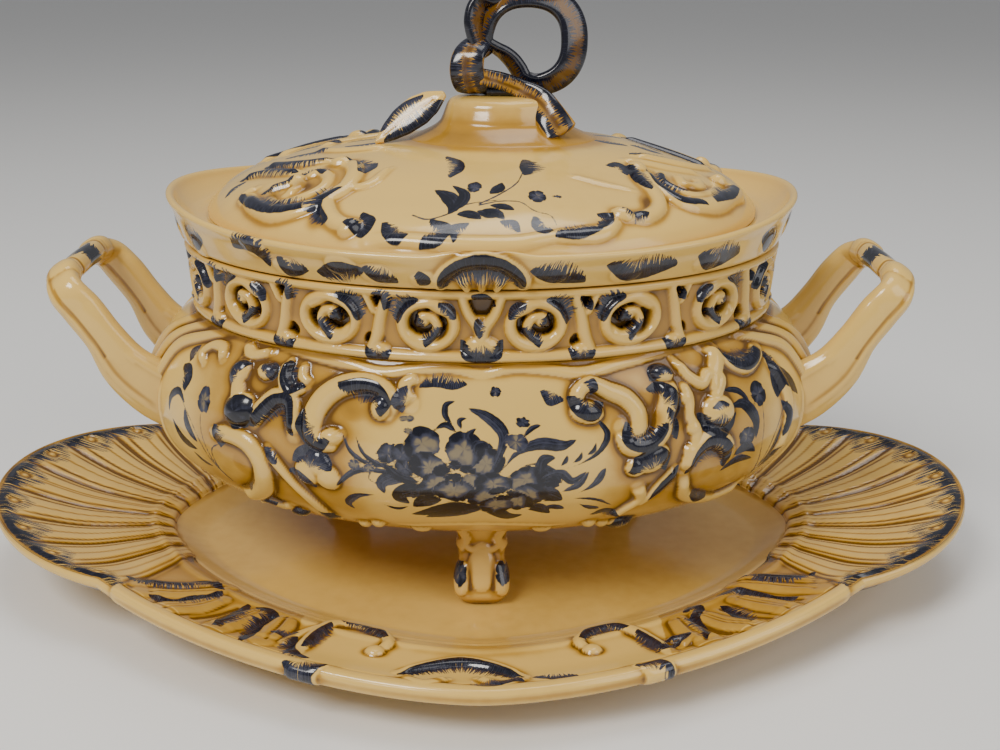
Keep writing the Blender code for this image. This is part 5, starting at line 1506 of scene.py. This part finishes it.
@dataclass
class Lid:
    """The domed lid: spiral scrolls and shells round its edge, and a plain pedestal off its middle."""

    half_length: float = 0.1238
    half_width: float = 0.1080
    shift: float = 0.009
    sink: float = 1.0

    def build(self, shop: Workshop) -> None:
        """The dome in four panels with its relief, then the pedestal, and the underside with its locating lip."""
        a, b = self.half_length, self.half_width
        knots = np.array([
            (1.0 * a, 1.0 * b, 0.1769, 0), (1.0 * a, 1.0 * b, 0.1788, 0), (0.985 * a, 0.982 * b, 0.1827, 0), (0.94 * a, 0.925 * b, 0.1882, 0),
            (0.87 * a, 0.84 * b, 0.193, 0), (0.79 * a, 0.75 * b, 0.1965, 0), (0.67 * a, 0.62 * b, 0.2013, 0), (0.43 * a, 0.37 * b, 0.2074, 0.009),
            (0.0425, 0.0315, 0.2087, 0.009),
        ])  # fmt: skip
        run = run_of(np.stack([(knots[:, 0] + knots[:, 1]) / 2, knots[:, 2]], axis=1))
        t = np.linspace(0.0, run[-1], 152)
        oval = Oval(a, b, 1200)
        half_a, half_b, z, shift = spline(t, run, knots).T
        dome = oval.ring(half_a, half_b, z, 0.0, shift)
        chart = Chart(dome[:, :, 0] / MM, -np.abs(dome[:, :, 1]) / MM)
        self.carve(chart)
        self.decorate(chart)
        chart.pool = np.maximum(chart.pool, 0.7 * ease(0.055, 0.040, half_a)[:, None] if False else 0.62 * (1 - ease(0.042, 0.056, half_a))[:, None])
        fade = ease(0, 3, t / MM)[:, None]
        chart.height *= fade
        moved, normals, layers = Glazed(dome, chart, (t[1] / MM, 0.6)).pressed(smooth=0.6, base=-self.sink, gain=0.75)
        moved[:4] = dome[:4]
        moved[4:12] += (dome[4:12] - moved[4:12]) * np.linspace(0.85, 0.1, 8)[:, None, None]
        quarter = oval.count // 4
        for index, label in enumerate(("back_left", "front_left", "front_right", "back_right")):
            columns = (np.arange(quarter + 1) + index * quarter) % oval.count
            part = {name: values[:, columns] for name, values in layers.items()}
            piece = add_grid(f"lid_{label}", moved[:, columns], part, closed=False, normals=normals[:, columns])
            shop.finish(piece, Body.LID, ("lid",))
        self.pedestal(shop, moved[-1, ::4])
        self.underside(shop, dome[0, ::4])

    def pedestal(self, shop: Workshop, foot: Array) -> None:
        """The pedestal under the ribbon: a concave neck up to a small flat top."""
        oval = Oval(self.half_length, self.half_width, len(foot))
        knots = np.array([
            (0.0425, 0.0315, 0.2079), (0.0375, 0.0280, 0.2098), (0.032, 0.024, 0.2124), (0.0285, 0.0210, 0.2150), (0.027, 0.020, 0.2176), (0.0257, 0.0186, 0.2210),
            (0.0244, 0.0174, 0.2238), (0.0218, 0.0150, 0.2257), (0.0160, 0.0105, 0.2264), (0.0040, 0.0026, 0.2265),
        ])  # fmt: skip
        a, b, z = spline(np.linspace(0, 9, 70), np.arange(10.0), knots).T
        ring = oval.ring(a, b, z, 0.0, self.shift)
        ring[0] = foot
        pool = np.repeat(np.interp(z, [0.208, 0.2120, 0.2190, 0.2260], [0.62, 0.75, 0.30, 0.10])[:, None], len(foot), axis=1)
        layers = plain_layers(ring.shape[:2])
        layers["pool"] = pool
        shop.finish(add_grid("lid_pedestal", ring, layers, poles=(False, True)), Body.LID, ("lid",))

    def underside(self, shop: Workshop, edge: Array) -> None:
        """The flange, the lip that locates the lid in the bowl, and the dome's inside."""
        oval = Oval(self.half_length, self.half_width, len(edge))
        knots = [
            (0.0135, 0.0096, 0.2190, 0.0072), (0.30 * 0.1105, 0.30 * 0.0847, 0.2035, 0.0072), (0.62 * 0.1105, 0.62 * 0.0847, 0.1972, 0), (0.86 * 0.1105, 0.86 * 0.0847, 0.1916, 0),
            (0.1105, 0.0847, 0.1807, 0), (0.1105, 0.0847, 0.1700, 0), (0.1125, 0.0867, 0.1693, 0), (0.1145, 0.0887, 0.1700, 0), (0.1145, 0.0887, 0.1768, 0), (0.1238, 0.1080, 0.1769, 0),
        ]  # fmt: skip
        rows = np.array([row for first, second in zip(knots, knots[1:]) for row in np.linspace(first, second, 5)[:-1]] + [knots[-1]])
        ring = oval.ring(rows[:, 0], rows[:, 1], rows[:, 2], 0.0, rows[:, 3])
        ring[-1] = edge
        shop.finish(add_grid("lid_underside", ring, plain_layers(ring.shape[:2], 0.1), poles=(True, False)), Body.LID, ("lid",))

    def carve(self, chart: Chart) -> None:
        """The lid's relief."""
        for points, width, tall in (
            ([(-99, -52), (-101, -45), (-96, -41)], 2.4, 2.0),
            ([(-100, -45), (-93, -60), (-80, -72), (-67, -73), (-57, -66), (-53, -55), (-54, -44), (-60, -36)], (3.0, 4.4, 4.4, 3.6), 3.4),
            ([(-90, -54), (-83, -65), (-74, -66), (-66, -61), (-64, -52), (-68, -45), (-76, -46)], (2.0, 3.0, 2.6), 2.6),
            ([(-90, -50), (-84, -49), (-78, -49), (-76, -55), (-81, -59)], (2.4, 3.2, 2.4), 2.6),
            ([(-105, -21), (-96, -24), (-86, -32), (-78, -38)], (2.4, 3.6, 2.4), 2.2),
            ([(-95, -12), (-85, -23), (-75, -29), (-63, -31)], (2.4, 3.4, 2.4), 2.2),
            ([(-74, -6), (-64, -14), (-52, -18), (-42, -18)], (2.0, 3.2, 2.0), 1.8),
            ([(-56, -62), (-61, -68), (-62, -77), (-58, -86), (-50, -92)], (2.6, 3.6, 3.0), 3.0),
            ([(-57, -65), (-47, -64), (-38, -50)], (2.0, 2.6, 1.6), 1.8),
            ([(-45, -98), (-30, -101), (-14, -104), (0, -105), (14, -104), (28, -100), (46, -96)], (2.0, 2.8, 2.0), 1.8),
            ([(65, -41), (66, -52), (71, -62), (71, -73), (66, -80), (58, -84)], (2.8, 3.8, 3.0), 3.0),
            ([(28, -100), (40, -97), (49, -93), (54, -86)], (2.4, 3.4, 2.4), 2.4),
            ([(69, -39), (72, -55), (81, -63), (93, -58), (104, -42), (110, -24), (104, -22)], (3.2, 4.2, 4.4, 3.6), 3.4),
            ([(76, -37), (77, -50), (86, -55), (96, -47), (103, -33)], (2.0, 3.0, 2.2), 2.6),
            ([(84, -36), (86, -45), (92, -42), (93, -33)], (2.2, 3.0, 2.2), 2.4),
            ([(66, -24), (78, -20), (91, -14), (104, -3)], (2.4, 3.6, 2.4), 2.2),
            ([(60, -34), (70, -31), (82, -28), (95, -22)], (2.0, 3.0, 2.0), 1.8),
            ([(36, -58), (49, -61), (63, -62)], (1.4, 2.0, 1.2), 1.0),
        ):
            chart.rib(points, width, 0.85 * tall)
        for centre, radii in (((-60, -37), (5.0, 3.6)), ((-78, -47), (4.0, 3.4)), ((-52, -91), (4.6, 3.8)), ((66, -40), (4.4, 4.6)), ((56, -83), (5.0, 3.6)), ((104, -23), (3.8, 3.4))):
            chart.knob(centre, radii, 3.2)
        for centre, radii in (((-72, -56), (5, 6)), ((-88, -57), (4, 4)), ((-66, -68), (3, 3)), ((88, -49), (6, 4)), ((80, -58), (3, 3)), ((66, -70), (3, 6)), ((-66, -82), (4, 5))):
            chart.stain(centre, radii, 0.9)

    def decorate(self, chart: Chart) -> None:
        """The lid's brushwork."""
        feather, leaf, stem, petal = chart.feather, chart.leaf, chart.stem, chart.petal
        for points, depth, tone in (
            ([(-104, -44), (-95, -60), (-80, -73), (-66, -75), (-56, -67)], 7.0, 0.08),
            ([(-51, -55), (-52, -44), (-59, -35)], -6.0, 0.06),
            ([(-79, -44), (-70, -44), (-66, -50)], 5.0, 0.08),
            ([(-93, -50), (-86, -47), (-78, -47)], -5.0, 0.1),
            ([(-107, -22), (-96, -21), (-84, -30), (-78, -38)], -6.5, 0.1),
            ([(-97, -12), (-86, -20), (-74, -27), (-63, -29)], -6.0, 0.1),
            ([(-89, -6), (-76, -8), (-64, -9)], -4.5, 0.15),
            ([(-62, -5), (-54, -6), (-46, -5)], -4.5, 0.15),
            ([(-112, -33), (-109, -27), (-103, -26)], -4.0, 0.15),
            ([(-57, -62), (-62, -68), (-64, -77), (-60, -86)], -6.0, 0.05),
            ([(-47, -84), (-42, -90), (-46, -96), (-54, -90)], -7.0, 0.05),
            ([(-39, -92), (-38, -98), (-32, -102), (-28, -100)], 6.5, 0.06),
            ([(-20, -93), (-12, -98), (-15, -104), (-24, -105)], -7.0, 0.08),
            ([(-5, -96), (-12, -98), (-11, -105)], 4.5, 0.15),
            ([(-15, -40), (-9, -47), (-8, -56), (-13, -64)], -5.5, 0.15),
            ([(-50, -54), (-45, -48), (-44, -42)], 4.5, 0.2),
            ([(17, -45), (16, -53), (17, -61)], 8.5, 0.03),
            ([(20, -91), (20, -97), (24, -100), (28, -98)], 5.5, 0.08),
            ([(7, -95), (13, -95), (15, -100)], -4.5, 0.12),
            ([(52, -43), (58, -38), (62, -41), (61, -49)], -6.0, 0.1),
            ([(62, -41), (63, -52), (69, -62)], 5.0, 0.06),
            ([(55, -78), (60, -80), (66, -80)], -5.0, 0.06),
            ([(45, -85), (51, -84), (51, -89), (46, -94)], -6.0, 0.08),
            ([(28, -101), (38, -99), (47, -94)], 5.0, 0.1),
            ([(69, -42), (72, -56), (81, -65), (93, -60)], 7.0, 0.05),
            ([(97, -55), (107, -40), (112, -24)], 6.5, 0.05),
            ([(77, -38), (78, -49), (86, -54)], -5.0, 0.08),
            ([(64, -25), (78, -19), (91, -12), (106, 0)], 6.5, 0.08),
            ([(49, -8), (57, -12), (65, -11)], 5.0, 0.15),
            ([(66, -8), (74, -8), (82, -3)], 5.0, 0.15),
        ):
            feather(points, depth, tone, 0.6, 0.7)
        stem([(-27, -90), (-22, -93), (-14, -91), (-7, -85), (7, -81)])
        stem([(-1, -84), (7, -77), (14, -68), (17, -57)])
        stem([(-1, -85), (7, -82), (15, -82), (21, -88), (27, -90), (29, -95)])
        for centre, radii in (((-3, -72), (3.2, 4.4)), ((22, -77), (4.0, 4.6)), ((30, -76), (2.2, 1.2))):
            petal(centre, radii, 0, 0.1, 0.5)
        for points, wide in (
            ([(-19, -73), (-13, -79), (-11, -86), (-13, -91)], 2.6), ([(-12, -70), (-7, -77), (-9, -85), (-13, -90)], 1.8), ([(-10, -91), (-5, -91), (0, -94)], 1.8),
            ([(-2, -89), (3, -91), (8, -91)], 1.8), ([(3, -77), (7, -72), (8, -68)], 1.8), ([(3, -85), (9, -86), (13, -88)], 1.6), ([(0, -88), (5, -90), (9, -94)], 1.8),
        ):  # fmt: skip
            leaf(points, 1.45 * wide, 0.04)


@dataclass
class Ribbon:
    """The finial: a ribbon tied in an upright loop, with a strand over it, a striped curl, a knot and a tail."""

    half_width: float = 0.00625
    thickness: float = 0.0023
    bow_x: float = 0.021
    left: float = 0.0015
    middle: float = 0.2500
    top: float = 0.2693
    base: float = 0.2265

    def strip(self, shop: Workshop, name: str, rows: list[tuple], inside: float, long_hairs: bool = False) -> None:
        """One run of ribbon with painted edges, from rows of (x, y, z, (broad direction), share of the width); inside
        is the painted shade on its inner face.
        """
        centres = np.array([row[:3] for row in rows])
        broad = np.array([row[3] for row in rows], float)
        breadth = np.array([row[4] for row in rows]) * self.half_width
        strap = Sweep(name, centres, broad, breadth, np.full(len(rows), self.thickness), 3.0, rows=150, inside=inside)
        points, chart = strap.grid()
        length, edge = float(chart.t.max()), float(breadth.mean()) / MM
        chart.groove([(0, 0), (0, length)], 0.5, 0.25, 0.35)
        chart.pool += 0.66
        for sign in (-1, 1):
            for first, last in ((-0.08, 0.42), (0.30, 0.78), (0.66, 1.1)):
                line = [(sign * edge, (first + (last - first) * step) * length) for step in (0.0, 0.35, 0.7, 1.0)]
                chart.feather(line, sign * edge * (1.05 if long_hairs else 0.80), 0.08 if long_hairs else -0.04, 0.95, 1.1)
        strap.build(shop, Body.LID, ("ribbon_bow",), Slot.BLUE, points, chart)

    def build(self, shop: Workshop) -> None:
        """Sweeps the loop and then each of the shorter runs."""
        left, base, mid, top, bow = self.left, self.base, self.middle, self.top, self.bow_x
        angle = np.arange(22) / 22 * 2 * math.pi
        c, n = np.cos(angle), np.sin(angle)
        cut = np.clip(-c, 0, None) * np.clip(-n, 0, None)
        x = bow + 0.0195 * np.sign(c) * np.abs(c) ** 0.86 + 0.011 * cut
        z = mid + 0.019 * np.sign(n) * np.abs(n) ** 0.86 + 0.013 * cut
        centres = np.column_stack([x, 0.0015 * np.sin(2 * angle), z])
        broad = np.column_stack([(0.9 + 0.5 * c) * c, np.full(22, 0.75), (0.9 + 0.5 * c) * n])
        # The loop's last number, 0.8, is painted shade on its inner face.
        loop = Sweep(
            "ribbon_loop", centres, broad, (0.92 + 0.12 * c) * self.half_width, np.full(22, self.thickness), 3.0, True, 260, 48, 0.8
        )
        points, chart = loop.grid()
        length = float(chart.t[-1, 0] + chart.t[1, 0])
        chart.pool += 0.55
        for edge, starts in ((6.0, (-0.04, 0.20, 0.44, 0.66, 0.84)), (-6.0, (-0.16, 0.10, 0.36, 0.58, 0.84))):
            for first in starts:
                run = [(edge, (first + step) * length) for step in (0.0, 0.10, 0.20, 0.30)]
                chart.feather(run, 5.0 if edge > 0 else -5.0, -0.04, 0.85, 1.4)
        loop.build(shop, Body.LID, ("ribbon_bow",), Slot.BLUE, points, chart)
        slant, over, upright, flat = (0.8, 0.6, 0), (0.2, 1, 0.3), (0.35, -0.25, 1), (1, 0, 0)
        # The number after each strip's rows is painted shade on its inner face.
        self.strip(shop, "ribbon_strand", [
            (left - 0.001, -0.001, mid - 0.006, slant, 0.8), (left - 0.004, -0.002, mid + 0.002, slant, 0.8), (left - 0.0052, -0.002, mid + 0.009, slant, 0.8),
            (left - 0.003, -0.0005, top - 0.0045, slant, 0.85), (left + 0.005, 0.0015, top - 0.0012, over, 0.8), (bow - 0.003, 0.001, top - 0.0005, over, 0.6),
        ], 0.6)  # fmt: skip
        self.strip(shop, "ribbon_curl", [
            (left + 0.0015, 0.0035, mid - 0.002, flat, 0.70), (left - 0.0035, -0.0025, mid - 0.0015, (1, -0.3, -0.2), 0.95), (left - 0.0075, -0.007, mid - 0.006, (1, -0.2, 0), 1.15),
            (left - 0.0085, -0.008, mid - 0.0125, flat, 1.20), (left - 0.0065, -0.005, base + 0.0045, flat, 1.15), (left - 0.003, 0.001, base + 0.0025, flat, 1.0),
            (left + 0.002, 0.005, base + 0.0035, flat, 0.8),
        ], 0.2, True)  # fmt: skip
        self.strip(shop, "ribbon_tail", [
            (left - 0.002, -0.0065, base + 0.0085, (0.1, 0.2, 1), 0.60), (left + 0.0065, -0.0065, base + 0.0068, upright, 0.62), (left + 0.015, -0.006, base + 0.0035, upright, 0.70),
            (left + 0.023, -0.010, base - 0.001, (0.75, -0.2, 0.6), 0.95), (left + 0.0285, -0.0165, base - 0.0075, (0.9, 0.1, 0.4), 1.10), (left + 0.0325, -0.0195, base - 0.0135, (0.95, 0.2, 0.3), 1.25),
        ], 0.3)  # fmt: skip
        self.strip(shop, "ribbon_knot", [
            (left + 0.001, 0.0005, base + 0.002, (0, 1, 0), 1.0), (left + 0.012, 0.0, base + 0.0022, (0, 1, 0), 1.05), (bow + 0.005, 0.0, base + 0.003, (0, 1, 0), 0.9),
        ], 0.4)  # fmt: skip

    def leaf(self, shop: Workshop) -> None:
        """The loose leaf that leans on the pedestal, with a dark stroke along its lower edge."""
        end = np.array([-0.0175, -0.0050, 0.2271])
        start = end + np.array([-0.815, -0.12, -0.565]) / np.linalg.norm([0.815, 0.12, 0.565]) * 0.036
        share = np.linspace(0, 1, 12)
        full = np.interp(share, [0, 0.16, 0.38, 0.62, 0.84, 1], [0.14, 0.58, 0.92, 1, 0.74, 0.26])
        centres = start + (end - start) * share[:, None]
        centres[:, 2] += 0.001 * np.sin(math.pi * share)
        blade = Sweep("ribbon_leaf_blade", centres, np.tile([-0.42, 0.52, 0.74], (12, 1)), full * 0.0075, 0.0021 * (0.6 + 0.4 * full), 2.2, rows=150)
        points, chart = blade.grid()
        length = float(chart.t.max())
        chart.groove([(0, 3), (0.4, length / 2), (0, length - 3)], 0.5, 0.3, 0.5)
        chart.feather([(-3.0, 2), (-7.2, length * 0.4), (-7.0, length * 0.7), (-3.0, length - 1)], -6.0, 0.03, 0.6, 0.8)
        chart.feather([(2.6, length * 0.1), (6.6, length * 0.4), (4.5, length * 0.8)], 5.0, 0.25, 0.9, 0.5)
        blade.build(shop, Body.LID, ("ribbon_leaf",), Slot.BLUE, points, chart)


# --- The studio ---------------------------------------------------------------------------------------------------------


@dataclass
class Studio:
    """A pale floor that fills the view, soft lights, and the camera."""

    distance: float = 0.5754
    height: float = 0.2964
    aside: float = 0.0085
    pitch: float = 0.3386
    roll: float = -0.006
    yaw: float = 0.012
    lens: float = 45.59

    def floor(self) -> None:
        """A plain matt floor."""
        reach = 15.0
        points = np.array([(-reach, -reach, 0), (reach, -reach, 0), (reach, reach, 0), (-reach, reach, 0)])
        plane = add_mesh("studio_floor", points, np.array([[0, 1, 2, 3]]), {})
        material = bpy.data.materials.new("studio_paper")
        material.use_nodes = True
        shader = material.node_tree.nodes["Principled BSDF"]
        shader.inputs["Base Color"].default_value = (0.80, 0.795, 0.78, 1)
        shader.inputs["Roughness"].default_value = 0.55
        plane.data.materials.append(material)

    def light(self, name: str, place: tuple[float, float, float], size: float, power: float, colour: tuple[float, float, float]) -> None:
        """A square area light turned to the object's middle."""
        data = bpy.data.lights.new(name, "AREA")
        data.size, data.energy, data.color = size, power, colour
        lamp = bpy.data.objects.new(name, data)
        lamp.location = place
        lamp.rotation_euler = (Vector((0, 0, 0.12)) - Vector(place)).to_track_quat("-Z", "Y").to_euler()
        bpy.context.scene.collection.objects.link(lamp)

    def camera(self) -> None:
        """The camera, from its distance, height, pitch, roll and yaw about the object."""
        c, s = math.cos(self.roll), math.sin(self.roll)
        forward = Vector((0, math.cos(self.pitch), -math.sin(self.pitch)))
        up = Vector((0, math.sin(self.pitch), math.cos(self.pitch)))
        right = Vector((1, 0, 0))
        across, upward = c * right - s * up, s * right + c * up
        turn = Matrix.Rotation(-self.yaw, 3, "Z")
        axes = Matrix([turn @ across, turn @ upward, turn @ -forward]).transposed()
        data = bpy.data.cameras.new("camera")
        data.lens, data.sensor_width, data.clip_start = self.lens, 36.0, 0.01
        eye = bpy.data.objects.new("camera", data)
        eye.matrix_world = Matrix.Translation(turn @ Vector((self.aside, -self.distance, self.height))) @ axes.to_4x4()
        bpy.context.scene.collection.objects.link(eye)
        bpy.context.scene.camera = eye

    def build(self) -> None:
        """Sets the stage."""
        self.floor()
        self.light("key", (-0.8, -1.1, 1.5), 0.7, 30.0, (1.0, 0.97, 0.92))
        self.light("fill", (1.3, -1.0, 1.0), 1.2, 11.0, (1.0, 0.99, 0.97))
        self.light("top", (0.2, 0.2, 1.9), 1.0, 12.0, (1.0, 0.99, 0.97))
        world = bpy.data.worlds.new("studio")
        world.use_nodes = True
        sky = world.node_tree.nodes["Background"]
        sky.inputs["Color"].default_value = (0.92, 0.93, 0.95, 1)
        sky.inputs["Strength"].default_value = 0.32
        bpy.context.scene.world = world
        self.camera()


def main() -> None:
    """Builds the stand, the tureen, its lid and the studio."""
    logging.basicConfig(level=logging.INFO, format="%(message)s")
    shop = Workshop()
    Stand().build(shop)
    Bowl().belly(shop)
    Gallery().build(shop)
    for name, place in (("foot_front", (0.0, -0.0655)), ("foot_back_left", (-0.070, 0.045)), ("foot_back_right", (0.070, 0.045))):
        Foot(name, place).build(shop)
    for side in Side:
        Handle(side).build(shop)
    Lid().build(shop)
    ribbon = Ribbon()
    ribbon.build(shop)
    ribbon.leaf(shop)
    Studio().build()
    LOG.info("%d triangles in all", shop.triangles)


if __name__ == "__main__":
    main()
